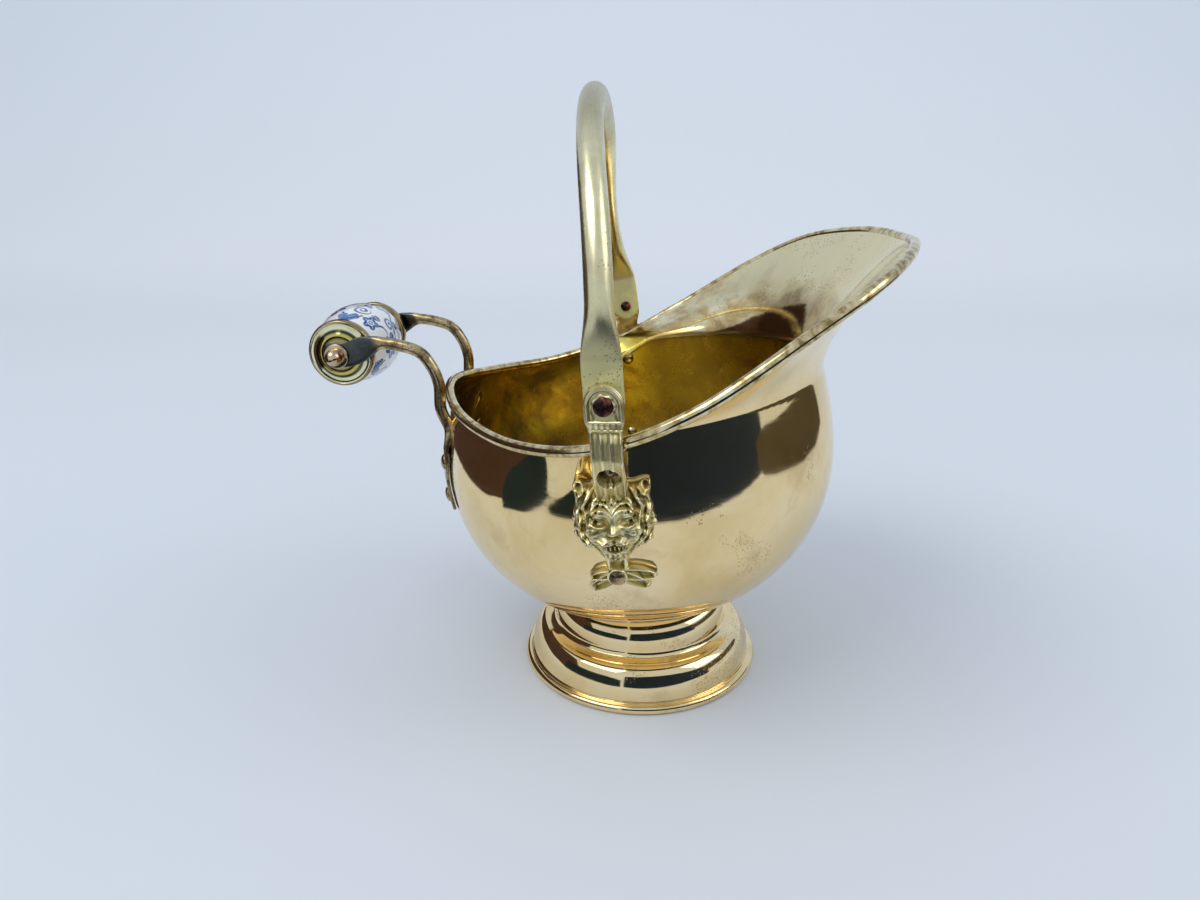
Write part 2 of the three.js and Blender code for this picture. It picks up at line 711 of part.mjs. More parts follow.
function mountGeometry() {
  const ribbonWrap = bowlBlock(seatGap + ribbonThickness);
  const leaves = [
    ribbonLeaf(17, 7, THREE.MathUtils.degToRad(-134)),
    ribbonLeaf(14.5, 6, THREE.MathUtils.degToRad(-162)),
    ribbonLeaf(14.5, 6.4, THREE.MathUtils.degToRad(-24)),
    ribbonLeaf(14.5, 6.4, THREE.MathUtils.degToRad(-2)),
    ribbonLeaf(11, 9, THREE.MathUtils.degToRad(90)),
  ];
  const ribbon = joined(leaves.map(solidOf)).intersect(ribbonWrap);
  const mask = solidOf(maskGeometry().applyMatrix4(mountPlace));
  const strap = solidOf(strapGeometry().applyMatrix4(mountPlace));
  const bosses = [
    seatBoss(ribbonSpot, ribbonRivet, ribbonSeat),
    seatBoss(foreheadSpot, maskRivet, foreheadSeat),
  ];
  const cuts = [
    bowlGrown,
    seatClearing(ribbonSpot, ribbonRivet, ribbonSeat),
    seatClearing(foreheadSpot, maskRivet, foreheadSeat),
    holeFor(ribbonRivet, ribbonSpot.place, ribbonSpot.facing, 40),
    holeFor(maskRivet, foreheadSpot.place, foreheadSpot.facing, 40),
    holeFor(pivotRivet, pivotPlace, outwards, 40),
  ];
  return geometryOf(joined([mask, strap, ribbon, ...bosses]).subtract(joined(cuts)));
}

// ---------------------------------------------------------------- rear handle, for the right side

const handleY = new THREE.Vector3(0, -1, 0);
const plateCourse = [armPlateFoot, armRivetLow, armRivetHigh, armPlateTop];
const plateSpots = plateCourse.map((height) =>
  bowlSpot(
    new THREE.Vector3(bowlSeatX - (height - bowlSeatHeight) * Math.tan(bowlLean), -armHalfSpan, height),
    new THREE.Vector3(-1, 0, 0),
  ),
);
const [, lowArmSpot, highArmSpot, plateTopSpot] = plateSpots;

// How far back the bead round the mouth reaches where an arm passes behind it.
function behindBead() {
  const reach = armHalfSpan + armRod / 2;
  const beside = mouthEdge.getPoints(360).filter((point) => Math.abs(point.y) < reach);
  const middle = armHalfSpan - armRod / 2;
  return Math.min(...beside.filter((p) => Math.abs(p.y) > middle).map((p) => p.x)) - edgeBeadRadius;
}

// The flat foot of an arm is cut out of a wrap round the bowl; the rod above bends to the grip.
function armGeometry() {
  const turn = Math.atan2(armHalfSpan, -plateTopSpot.place.x);
  const outline = new THREE.Shape();
  const half = armPlateWidth / 2;
  outline.moveTo(-half + 1.5, armPlateFoot);
  outline.lineTo(half - 1.5, armPlateFoot);
  outline.quadraticCurveTo(half, armPlateFoot, half, armPlateFoot + 1.5);
  outline.lineTo(half, armPlateTop - 14);
  outline.lineTo(armRod / 2, armPlateTop + 2);
  outline.lineTo(-armRod / 2, armPlateTop + 2);
  outline.lineTo(-half, armPlateTop - 14);
  outline.lineTo(-half, armPlateFoot + 1.5);
  outline.quadraticCurveTo(-half, armPlateFoot, -half + 1.5, armPlateFoot);
  // It stands upright and faces away from the bowl's axis.
  const blank = plate(outline, 60, 3)
    .rotateX(Math.PI / 2)
    .rotateZ(-Math.PI / 2 + turn)
    .translate(highArmSpot.place.x - 20, -armHalfSpan - 20 * Math.tan(turn), 0);
  const foot = solidOf(blank).intersect(bowlBlock(seatGap + armPlateThickness));
  const rodX = behindBead() - seatGap - armRod / 2;
  const plateX = plateTopSpot.place.x - seatGap - armPlateThickness / 2;
  const shoulder = gripX + armFlatStart;
  const course = new THREE.CatmullRomCurve3(
    [
      new THREE.Vector3(plateX, -armHalfSpan, armPlateTop - 13),
      new THREE.Vector3(plateX - 0.4, -armHalfSpan, armPlateTop - 5),
      new THREE.Vector3(rodX, -armHalfSpan, armPlateTop + 4),
      new THREE.Vector3(rodX, -armHalfSpan, gripHeight - 12),
      new THREE.Vector3(rodX - 3, -armHalfSpan, gripHeight - 3.5),
      new THREE.Vector3(rodX - 8.6, -armHalfSpan, gripHeight + 2.4),
      new THREE.Vector3(shoulder, -armHalfSpan, gripHeight + 5.2),
      new THREE.Vector3(shoulder - 6, -armHalfSpan, gripHeight + 4.4),
    ],
    false,
    "centripetal",
  );
  const section = new THREE.Shape();
  section.absarc(0, 0, armRod / 2, 0, 2 * Math.PI, false);
  const rod = new THREE.ExtrudeGeometry(section, {
    steps: 14,
    curveSegments: 8,
    extrudePath: course,
    bevelEnabled: false,
  });
  const flat = new THREE.Shape();
  const low = gripHeight - armFlatWidth / 2;
  const high = gripHeight + armFlatWidth / 2;
  flat.moveTo(gripX - armFlatEnd, low);
  flat.lineTo(gripX + armFlatEnd, low);
  flat.quadraticCurveTo(shoulder - 5, low + 2, shoulder, gripHeight + 5.2 - armRod / 2);
  flat.lineTo(shoulder, gripHeight + 5.2 + armRod / 2);
  flat.quadraticCurveTo(shoulder - 5, high + 1.6, gripX + armFlatEnd, high);
  flat.lineTo(gripX - armFlatEnd, high);
  const eye = plate(flat, armFlatThickness, 4).rotateX(Math.PI / 2).translate(0, -armHalfSpan, 0);
  const cuts = [
    bowlGrown,
    holeFor(armRivet, lowArmSpot.place, lowArmSpot.facing, 20),
    holeFor(armRivet, highArmSpot.place, highArmSpot.facing, 20),
    holeFor({ shank: throughRod }, new THREE.Vector3(gripX, -armHalfSpan, gripHeight), handleY, 20),
  ];
  return geometryOf(joined([foot, solidOf(rod), solidOf(eye)]).subtract(joined(cuts)));
}

// The grip and its fittings turn about Z here, and are laid along the rod afterwards.
function gripGeometry() {
  const half = gripLength / 2;
  const bore = throughRod / 2 + gripPlay;
  const belly = half - cupLip - seatGap;
  const barrel = [];
  const rings = 8;
  for (let ring = 0; ring <= rings; ring++) {
    const place = -1 + (2 * ring) / rings;
    const bulge = Math.cos(place * 0.5 * Math.PI) ** 0.7;
    barrel.push([gripEndRadius + (gripRadius - gripEndRadius) * bulge, place * belly]);
  }
  const ends = [
    [gripEndRadius, half],
    [bore, half],
    [bore, -half],
    [gripEndRadius, -half],
  ];
  return turned([...barrel, ...ends, barrel[0]], 24);
}

// A cup: a rolled rim over the porcelain's end, a wide dish, a step and a low boss.
function cupGeometry() {
  const end = gripLength / 2;
  const bore = throughRod / 2 + gripPlay;
  const inner = end + seatGap;
  const face = inner + cupSheet;
  const lip = cupRadius - cupBead;
  const profile = [
    [bore, inner + cupBulge - cupSheet],
    [lip - 3.5, inner],
    [lip - 0.6, inner],
    [lip - 0.6, end - cupLip + 0.6],
    [lip, end - cupLip],
    [lip + 0.8 * cupBead, end - cupLip + 0.6],
    [cupRadius, end - 0.6],
    [lip + 0.8 * cupBead, end + 0.7],
    [lip, face],
    [lip - 3, face + 0.6],
    [7.4, face + 1.5],
    [7, face + 1.1],
    [5.4, face + 1.9],
    [bore, face + cupBulge],
  ];
  return turned([...profile, profile[0]], 24);
}

const eyeOutside = armHalfSpan + armFlatThickness / 2;

function rodGeometry() {
  const half = eyeOutside + seatGap + ballFlangeThickness;
  return new THREE.CylinderGeometry(throughRod / 2, throughRod / 2, 2 * half, 12);
}

function ballNutGeometry() {
  const bore = throughRod / 2 + seatGap;
  const base = eyeOutside + seatGap;
  const top = base + ballFlangeThickness;
  const profile = [
    [0, top + seatGap],
    [bore, top + seatGap],
    [bore, base],
    [ballFlangeRadius, base],
    [ballFlangeRadius, top - 0.3],
    [ballRadius - 0.4, top],
  ];
  const rings = 6;
  for (let ring = 1; ring <= rings; ring++) {
    const turn = THREE.MathUtils.degToRad(-45 + (135 * ring) / rings);
    profile.push([ballRadius * Math.cos(turn), top + 2.2 + ballRadius * Math.sin(turn)]);
  }
  profile[profile.length - 1][0] = 0;
  return turned(profile, 16);
}

// ---------------------------------------------------------------- assembly

const scuttle = new THREE.Group();

function add(name, geometry, material) {
  const mesh = new THREE.Mesh(geometry, material);
  mesh.name = name;
  scuttle.add(mesh);
  return mesh;
}

// Each side's pieces are drawn on the right, at minus Y, and mirrored to the left.
function addPair(name, geometry, material) {
  add(`${name}_right`, geometry, material);
  add(`${name}_left`, geometry, material).scale.y = -1;
}

const rivets = {
  mount_rivet_upper: [maskRivet, foreheadSpot, foreheadSeat],
  mount_rivet_lower: [ribbonRivet, ribbonSpot, ribbonSeat],
  arm_rivet_upper: [armRivet, highArmSpot, seatGap + armPlateThickness],
  arm_rivet_lower: [armRivet, lowArmSpot, seatGap + armPlateThickness],
};

const holes = Object.values(rivets).flatMap(([rivet, { place, facing }]) =>
  [1, -1].map((side) => {
    const mirrored = new THREE.Vector3(1, side, 1);
    return holeFor(rivet, place.clone().multiply(mirrored), facing.clone().multiply(mirrored), 12);
  }),
);
add("bowl", geometryOf(solidOf(bowlShell()).subtract(joined(holes))), polishedBrass);
add("mouth_bead", mouthBead(), polishedBrass);
add("foot", footShell(bowlGrown), polishedBrass);

const bail = add("bail", bailGeometry(), polishedBrass);
bail.position.set(pivotX, 0, pivotHeight);
bail.rotation.y = -bailLean;

addPair("lion_mount", mountGeometry(), castBrass);
for (const [name, [rivet, { place, facing }, seat]] of Object.entries(rivets)) {
  const head = place.clone().addScaledVector(facing, seat);
  addPair(name, aimed(rivetGeometry(rivet, seat + sheet), head, facing), darkBrass);
}
const pivotFace = pivotPlace.clone();
const recessFace = strapInside + earThickness - earRecessDepth;
pivotFace.y = -(recessFace + (pivotRivet.head / 2) * Math.tan(earTwist));
const pivotLength = -pivotFace.y - bailHalfSpan + bailFlatThickness / 2;
addPair("bail_rivet", aimed(rivetGeometry(pivotRivet, pivotLength), pivotFace, outwards), copper);

addPair("handle_arm", armGeometry(), dullBrass);
const grip = new THREE.Group();
grip.position.set(gripX, 0, gripHeight);
scuttle.add(grip);

function addToGrip(name, geometry, material, turn) {
  const mesh = add(name, geometry, material);
  grip.add(mesh);
  mesh.rotation.x = turn;
}

const alongRod = Math.PI / 2; // lays +Z along -Y, to the right
addToGrip("grip", gripGeometry(), porcelain, alongRod);
addToGrip("grip_rod", rodGeometry(), dullBrass, 0);
for (const [side, turn] of Object.entries({ right: alongRod, left: -alongRod })) {
  addToGrip(`grip_cup_${side}`, cupGeometry(), castBrass, turn);
  addToGrip(`ball_nut_${side}`, ballNutGeometry(), castBrass, turn);
}

// The origin is on the floor, under the middle of everything.
const extent = new THREE.Box3().setFromObject(scuttle, true);
scuttle.position.x = -(extent.min.x + extent.max.x) / 2;
scuttle.position.z = -extent.min.z;

const root = new THREE.Group();
root.add(scuttle);

export default root;
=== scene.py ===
# %% [markdown]
# # A brass coal scuttle
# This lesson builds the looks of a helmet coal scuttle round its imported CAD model. The bowl is a
# spun sheet that leans back and opens into a spout, and everything else hangs on it: a foot, a
# bail between two lion masks, and a porcelain grip behind. All lengths are written in millimetres
# and turned into metres when a mesh is made.

import math

import bmesh
import bpy
import numpy as np
from mathutils import Matrix, Vector


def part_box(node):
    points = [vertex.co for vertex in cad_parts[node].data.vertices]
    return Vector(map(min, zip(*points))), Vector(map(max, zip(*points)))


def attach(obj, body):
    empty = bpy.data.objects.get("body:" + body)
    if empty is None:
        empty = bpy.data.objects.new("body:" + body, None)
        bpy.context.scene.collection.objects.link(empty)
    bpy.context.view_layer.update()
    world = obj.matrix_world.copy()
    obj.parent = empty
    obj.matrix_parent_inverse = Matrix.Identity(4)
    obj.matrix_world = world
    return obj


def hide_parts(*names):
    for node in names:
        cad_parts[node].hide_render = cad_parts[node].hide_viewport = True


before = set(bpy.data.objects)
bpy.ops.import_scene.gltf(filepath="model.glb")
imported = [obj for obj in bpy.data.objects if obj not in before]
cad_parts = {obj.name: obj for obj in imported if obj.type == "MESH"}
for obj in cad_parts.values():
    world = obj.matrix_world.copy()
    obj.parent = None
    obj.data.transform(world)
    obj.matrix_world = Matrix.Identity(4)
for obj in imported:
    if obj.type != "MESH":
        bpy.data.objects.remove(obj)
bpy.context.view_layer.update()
foot_low, foot_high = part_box("foot")
# The foot's middle is the origin of the numbers below. In the frame it stands at this X.
shift = 1000 * (foot_low.x + foot_high.x) / 2

# %% [markdown]
# ## Numbers shared with the CAD model
# The bowl is a body of revolution about an axis that leans back by a few degrees. Above its widest
# ring it draws in to a neck, and in front the wall flares out again to reach the mouth's edge,
# which is one smooth closed curve through sixteen stations.

# %% Dimensions in millimetres
SHEET = 1.3
BOWL_RADIUS, BOWL_DEPTH, BOWL_FULLNESS = 84.6, 74.5, 2.11
BOWL_LEAN = math.radians(6.84)
BOWL_SEAT = np.array([7.5, 0.0, 30.4])
NECK_RADIUS, NECK_RISE = 81.6, 30.7
FLARE_CURVE = 1.6
NECK_HEIGHT = BOWL_DEPTH + NECK_RISE
BEAD_RADIUS = 2.1
GRIP_X, GRIP_Z = -124.0, 150.3  # where the grip's rod crosses the middle plane
STATIONS = [
    (98, 40, 194),
    (78, 77.7, 186.8),
    (54, 93.3, 172.9),
    (18, 102.3, 149.6),
    (-12, 93.5, 134.7),
    (-45, 70, 127.3),
    (-72, 38, 129),
]
EDGE_STATIONS = np.array(
    [(106, 0, 194)]
    + STATIONS
    + [(-83.8, 0, 133)]
    + [(x, -y, z) for x, y, z in reversed(STATIONS)],
    float,
)


# %% [markdown]
# The mouth's edge is drawn as a maker would bend a wire: through a few stations, with a smooth
# curve between them. A centripetal spline is used because it doesn't overshoot where stations lie
# close together. The edge is then read in the bowl's own leaning frame, as a reach and a height
# for each direction round the axis.


# %% The mouth's edge
def closed_spline(stations, at):
    """Centripetal Catmull-Rom through closed stations, at parameters from 0 to 1."""
    count = len(stations)
    place = (np.asarray(at, float) % 1.0) * count
    index = np.floor(place).astype(int) % count
    weight = (place - np.floor(place))[:, None]
    p0, p1, p2, p3 = (stations[(index + k) % count] for k in (-1, 0, 1, 2))

    def gap(a, b):
        return np.maximum(np.linalg.norm(a - b, axis=1) ** 0.5, 1e-4)[:, None]

    d0, d1, d2 = gap(p0, p1), gap(p1, p2), gap(p2, p3)
    t1 = ((p1 - p0) / d0 - (p2 - p0) / (d0 + d1) + (p2 - p1) / d1) * d1
    t2 = ((p2 - p1) / d1 - (p3 - p1) / (d1 + d2) + (p3 - p2) / d2) * d1
    c2 = -3 * p1 + 3 * p2 - 2 * t1 - t2
    c3 = 2 * p1 - 2 * p2 + t1 + t2
    return p1 + t1 * weight + c2 * weight**2 + c3 * weight**3


def leaning(angle):
    """A turn that leans the upright back, from +Z towards -X."""
    return np.array(
        [
            [math.cos(angle), 0, -math.sin(angle)],
            [0, 1, 0],
            [math.sin(angle), 0, math.cos(angle)],
        ]
    )


LEAN = leaning(BOWL_LEAN)


def into_bowl(points):
    return (points - BOWL_SEAT) @ LEAN


def out_of_bowl(points):
    return points @ LEAN.T + BOWL_SEAT


HALF_EDGE = np.linspace(0, 0.5, 1441)  # from the spout's tip round one side to the rear
edge_local = into_bowl(closed_spline(EDGE_STATIONS, HALF_EDGE))
edge_angle = np.abs(np.arctan2(edge_local[:, 1], edge_local[:, 0]))
edge_order = np.argsort(edge_angle)
edge_angle = edge_angle[edge_order]
edge_reach = np.hypot(edge_local[:, 0], edge_local[:, 1])[edge_order]
edge_height = edge_local[edge_order, 2]
print(
    "mouth from", edge_height.min().round(1), "to", edge_height.max().round(1),
    "above the bowl's bottom",
)

# %% [markdown]
# The wall below the edge is a bulb: a superellipse up to the widest ring, then a slow draw-in to
# the neck. From the neck the wall runs out to the edge in front, and from the widest ring at the
# back, with a smooth change between the two. One function of direction and height gives it
# everywhere, and everything that sits on the bowl asks that function for its place.


# %% The bowl's wall
def smooth(value, low, high):
    share = np.clip((value - low) / (high - low), 0, 1)
    return share * share * (3 - 2 * share)


def bulb_radius(height):
    fall = np.clip((BOWL_DEPTH - height) / BOWL_DEPTH, 0, 1)
    lower = BOWL_RADIUS * (1 - fall**BOWL_FULLNESS) ** (1 / BOWL_FULLNESS)
    rise = np.clip((height - BOWL_DEPTH) / NECK_RISE, 0, 1)
    upper = BOWL_RADIUS - (BOWL_RADIUS - NECK_RADIUS) * rise**2
    return np.where(height < BOWL_DEPTH, lower, upper)


def wall_radius(angle, height):
    """Radius of the bowl's outside round its own axis."""
    turn = np.abs(angle)
    reach = np.interp(turn, edge_angle, edge_reach)
    top = np.interp(turn, edge_angle, edge_height)
    round_back = smooth(turn, math.radians(80), math.radians(120))
    start = NECK_HEIGHT + (BOWL_DEPTH - NECK_HEIGHT) * round_back
    share = np.clip((height - start) / (top - start), 0, 1)
    return bulb_radius(height) + (reach - bulb_radius(top)) * share**FLARE_CURVE


print("wall radius in front at the neck:", wall_radius(np.zeros(1), NECK_HEIGHT).round(1), "mm")

# %% [markdown]
# ## Small tools
# A mesh is always a grid of rows and columns, closed in one or both directions, so that one
# function can make shells, turned pieces and swept rods. Its faces look outwards, it is shaded
# smooth, and its vertices are moved into the frame's place and unit.


# %% Mesh tools
def to_frame(points):
    moved = np.array(points, float).reshape(-1, 3) + np.array([shift, 0, 0])
    return moved / 1000


def mesh_object(name, points, faces, materials, body="scuttle", slots=None):
    """A smooth-shaded piece that looks outwards, with its place in its mesh, riding on a body."""
    materials = materials if isinstance(materials, (list, tuple)) else [materials]
    mesh = bpy.data.meshes.new(name)
    mesh.from_pydata(to_frame(points).tolist(), [], [list(map(int, face)) for face in faces])
    for material in materials:
        mesh.materials.append(material)
    if slots is not None:
        mesh.polygons.foreach_set("material_index", slots)
    work = bmesh.new()
    work.from_mesh(mesh)
    bmesh.ops.remove_doubles(work, verts=work.verts, dist=2e-6)
    bmesh.ops.dissolve_degenerate(work, edges=work.edges, dist=1e-7)
    bmesh.ops.recalc_face_normals(work, faces=work.faces)
    work.to_mesh(mesh)
    work.free()
    mesh.polygons.foreach_set("use_smooth", [True] * len(mesh.polygons))
    obj = bpy.data.objects.new(name, mesh)
    bpy.context.scene.collection.objects.link(obj)
    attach(obj, body)
    return obj


def grid_faces(rows, columns, wrap_rows=False, wrap_columns=True):
    faces = []
    for row in range(rows if wrap_rows else rows - 1):
        below = (row + 1) % rows
        for column in range(columns if wrap_columns else columns - 1):
            after = (column + 1) % columns
            faces.append(
                (
                    row * columns + column,
                    row * columns + after,
                    below * columns + after,
                    below * columns + column,
                )
            )
    return faces


print("mesh builder ready")

# %% [markdown]
# Round pieces are turned from a profile of radii and heights, as on a lathe. Real edges are never
# quite sharp, and a small rounding is what catches the light, so profiles have their corners eased
# before they are turned.


# %% Turned forms
def lathe_points(profile, columns):
    turn = np.linspace(0, 2 * math.pi, columns, endpoint=False)
    profile = np.asarray(profile, float)
    x = profile[:, :1] * np.cos(turn)
    y = profile[:, :1] * np.sin(turn)
    z = np.repeat(profile[:, 1:2], columns, axis=1)
    return np.stack([x, y, z], -1).reshape(-1, 3)


def rounded(profile, radius=0.35, steps=3):
    """Rounds every corner of an open [radius, height] profile, so that edges catch the light."""
    points = [np.asarray(p, float) for p in profile]
    out = [points[0]]
    for before, corner, after in zip(points, points[1:], points[2:]):
        to_before, to_after = before - corner, after - corner
        cut = min(radius, 0.45 * np.linalg.norm(to_before), 0.45 * np.linalg.norm(to_after))
        start = corner + to_before / np.linalg.norm(to_before) * cut
        end = corner + to_after / np.linalg.norm(to_after) * cut
        for step in range(steps + 1):
            t = step / steps
            out.append((1 - t) ** 2 * start + 2 * t * (1 - t) * corner + t * t * end)
    out.append(points[-1])
    return np.array(out)


print("turning tools ready")

# %% [markdown]
# Bent rods and straps are one section carried along a path. The section is given point by point
# along a side direction and a normal, and may change from one end to the other, which is what
# hammering does to a rod.


# %% Swept forms
def spline(points, count):
    """Open Catmull-Rom curve through points, evenly spaced in parameter."""
    points = np.asarray(points, float)
    padded = np.vstack([2 * points[0] - points[1], points, 2 * points[-1] - points[-2]])
    at = np.linspace(0, len(points) - 1, count)
    index = np.minimum(at.astype(int), len(points) - 2)
    t = (at - index)[:, None]
    p0, p1, p2, p3 = (padded[index + k] for k in range(4))
    return 0.5 * (
        2 * p1 + (p2 - p0) * t + (2 * p0 - 5 * p1 + 4 * p2 - p3) * t**2
        + (3 * p1 - p0 - 3 * p2 + p3) * t**3
    )


def swept(path, section, side):
    """Carries a section (its points given as [along side, along normal]) down a path."""
    path = np.asarray(path, float)
    along = np.gradient(path, axis=0)
    along /= np.linalg.norm(along, axis=1)[:, None]
    side = np.asarray(side, float)
    side = np.repeat(side[None], len(path), 0) if side.ndim == 1 else side
    side = side - (side * along).sum(1)[:, None] * along
    side /= np.linalg.norm(side, axis=1)[:, None]
    normal = np.cross(along, side)
    section = np.asarray(section, float)
    if section.ndim == 2:
        section = np.repeat(section[None], len(path), 0)
    return path[:, None] + section[..., :1] * side[:, None] + section[..., 1:] * normal[:, None]


def capped_tube(rings):
    """Points and faces of a tube through rings, closed by a point in the middle of each end."""
    rows, columns = rings.shape[:2]
    points = np.vstack([rings.reshape(-1, 3), rings[0].mean(0), rings[-1].mean(0)])
    faces = grid_faces(rows, columns)
    first, last = rows * columns, rows * columns + 1
    for column in range(columns):
        after = (column + 1) % columns
        faces.append((first, after, column))
        faces.append((last, (rows - 1) * columns + column, (rows - 1) * columns + after))
    return points, faces


print("sweeping tools ready")

# %% [markdown]
# ## The metal and its stains
# Polished brass mirrors its surroundings, so its colour is mostly theirs, tinted a pale straw. Age
# shows as soft mottling, brown pin pricks and hair scratches. These masks are needed by several
# finishes, so each is a node group that gives out a value, and the shading stays in the material.


# %% Node helpers
def new_group(name, inputs, outputs):
    group = bpy.data.node_groups.new(name, "ShaderNodeTree")
    for label, kind, default in inputs:
        item = group.interface.new_socket(name=label, in_out="INPUT", socket_type=kind)
        if default is not None:
            item.default_value = default
    for label, kind in outputs:
        group.interface.new_socket(name=label, in_out="OUTPUT", socket_type=kind)
    return group, group.nodes.new("NodeGroupInput"), group.nodes.new("NodeGroupOutput")


def add_node(tree, kind, values=None, **settings):
    node = tree.nodes.new(kind)
    for key, value in settings.items():
        setattr(node, key, value)
    for key, value in (values or {}).items():
        if isinstance(value, bpy.types.NodeSocket):
            tree.links.new(value, node.inputs[key])
        else:
            node.inputs[key].default_value = value
    return node


def ramp(tree, factor, stops, interpolation="LINEAR"):
    node = add_node(tree, "ShaderNodeValToRGB", {0: factor})
    node.color_ramp.interpolation = interpolation
    while len(node.color_ramp.elements) < len(stops):
        node.color_ramp.elements.new(0.5)
    for element, (place, colour) in zip(node.color_ramp.elements, stops):
        element.position = place
        element.color = colour if len(colour) == 4 else (*colour, 1)
    return node.outputs["Color"]


def math_node(tree, operation, *values, clamp=False):
    node = add_node(
        tree, "ShaderNodeMath", dict(enumerate(values)), operation=operation, use_clamp=clamp
    )
    return node.outputs[0]


def mix_colour(tree, factor, first, second, blend="MIX"):
    node = add_node(tree, "ShaderNodeMix", data_type="RGBA", blend_type=blend)
    for key, value in ((0, factor), (6, first), (7, second)):
        if isinstance(value, bpy.types.NodeSocket):
            tree.links.new(value, node.inputs[key])
        else:
            node.inputs[key].default_value = value if key == 0 else (*value[:3], 1)
    return node.outputs[2]


def grey(value):
    return (value, value, value, 1)


print("node helpers ready")

# %% [markdown]
# Three groups cover the wear of all the metal here. Mottling is a cloudy noise. Pin pricks are the
# cells of a Voronoi pattern, kept only in patches, as corrosion is. Hair scratches are a noise
# drawn out along one direction, as polishing leaves them.

# %% Node groups for wear
# Soft mottling: broad clouds broken by finer ones.
mottle, entry, leave = new_group(
    "Mottling",
    [("Vector", "NodeSocketVector", None), ("Scale", "NodeSocketFloat", 25.0)],
    [("Value", "NodeSocketFloat")],
)
clouds = add_node(
    mottle,
    "ShaderNodeTexNoise",
    {"Vector": entry.outputs[0], "Scale": entry.outputs[1], "Detail": 6.0, "Roughness": 0.62,
     "Distortion": 0.4},
)
mottle.links.new(clouds.outputs[0], leave.inputs[0])

# Pin pricks: the cells of a Voronoi pattern, kept only where a slower noise lets them through.
pricks, entry, leave = new_group(
    "Pin pricks",
    [
        ("Vector", "NodeSocketVector", None),
        ("Scale", "NodeSocketFloat", 900.0),
        ("Patch scale", "NodeSocketFloat", 30.0),
        ("Spread", "NodeSocketFloat", 0.6),
    ],
    [("Value", "NodeSocketFloat")],
)
cells = add_node(
    pricks, "ShaderNodeTexVoronoi", {"Vector": entry.outputs[0], "Scale": entry.outputs[1]}
)
PRICK_SIZE = 0.26  # as a share of a cell
near_cell = math_node(pricks, "LESS_THAN", cells.outputs["Distance"], PRICK_SIZE)
patches = add_node(
    pricks,
    "ShaderNodeTexNoise",
    {"Vector": entry.outputs[0], "Scale": entry.outputs[2], "Detail": 3.0},
)
allowed = math_node(pricks, "GREATER_THAN", patches.outputs[0], entry.outputs[3])
pricks.links.new(math_node(pricks, "MULTIPLY", near_cell, allowed), leave.inputs[0])

# Hair scratches: noise drawn out a hundred times along one direction.
hairs, entry, leave = new_group(
    "Hair scratches",
    [
        ("Vector", "NodeSocketVector", None),
        ("Stretch", "NodeSocketVector", (40.0, 40.0, 1500.0)),
    ],
    [("Value", "NodeSocketFloat")],
)
drawn = add_node(
    hairs, "ShaderNodeVectorMath", {0: entry.outputs[0], 1: entry.outputs[1]}, operation="MULTIPLY"
)
streaks = add_node(
    hairs,
    "ShaderNodeTexNoise",
    {"Vector": drawn.outputs[0], "Scale": 1.0, "Detail": 4.0, "Roughness": 0.6},
)
hairs.links.new(streaks.outputs[0], leave.inputs[0])


print("node groups:", [group.name for group in bpy.data.node_groups])

# %% [markdown]
# Every finish starts the same way: a material that reads Object coordinates, in metres, so that a
# pattern has the same real size on every piece. Every metal ends the same way too, with its
# colour, its roughness and a little unevenness given to the Principled shader.


# %% Starting and ending a material
def use_group(tree, group, vector, **values):
    node = add_node(tree, "ShaderNodeGroup", node_tree=group)
    tree.links.new(vector, node.inputs["Vector"])
    for key, value in values.items():
        node.inputs[key.replace("_", " ").capitalize()].default_value = value
    return node.outputs[0]


def new_material(name):
    material = bpy.data.materials.new(name)
    material.use_nodes = True
    tree = material.node_tree
    shader = tree.nodes["Principled BSDF"]
    place = add_node(tree, "ShaderNodeTexCoord").outputs["Object"]
    return material, tree, shader, place


def finish_metal(tree, shader, colour, roughness, height=None, strength=0.1, distance=0.0002):
    shader.inputs["Metallic"].default_value = 1.0
    for key, value in (("Base Color", colour), ("Roughness", roughness)):
        if isinstance(value, bpy.types.NodeSocket):
            tree.links.new(value, shader.inputs[key])
        elif key == "Roughness":
            shader.inputs[key].default_value = value
        else:
            shader.inputs[key].default_value = (*value[:3], 1)
    if height is not None:
        bump = add_node(
            tree, "ShaderNodeBump", {"Height": height, "Strength": strength, "Distance": distance}
        )
        tree.links.new(bump.outputs[0], shader.inputs["Normal"])


print("material helpers ready")

# %% [markdown]
# ## Masks shared by the finishes
# A finish is mostly built from the same few steps: a grey ramp that turns a noise into a mask or a
# roughness, a range along one axis, and pin pricks laid over a colour. Short functions for them
# keep each finish readable.


# %% Small helpers for masks
def fade(tree, factor, *stops):
    """A grey ramp through stops of (place, value), for masks and for roughness."""
    return ramp(tree, factor, [(at, grey(value)) for at, value in stops])


def map_range(tree, value, low, high):
    """0 where the value is low, 1 where it is high, and straight in between."""
    return add_node(tree, "ShaderNodeMapRange", {0: value, 1: low, 2: high}).outputs[0]


def axis_of(tree, vector, index):
    return add_node(tree, "ShaderNodeSeparateXYZ", {0: vector}).outputs[index]


def noise(tree, place, scale, detail):
    values = {"Vector": place, "Scale": scale, "Detail": detail}
    return add_node(tree, "ShaderNodeTexNoise", values).outputs[0]


def partly(tree, mask, amount):
    return math_node(tree, "MULTIPLY", mask, amount)


print("mask helpers ready")

# %% [markdown]
# ### Outside: champagne brass
# The outside is polished but not new. The straw colour is pale, the mottling faint, and small
# patches of brown pits sit in the polish. A little unevenness of the sheet bends the reflections.

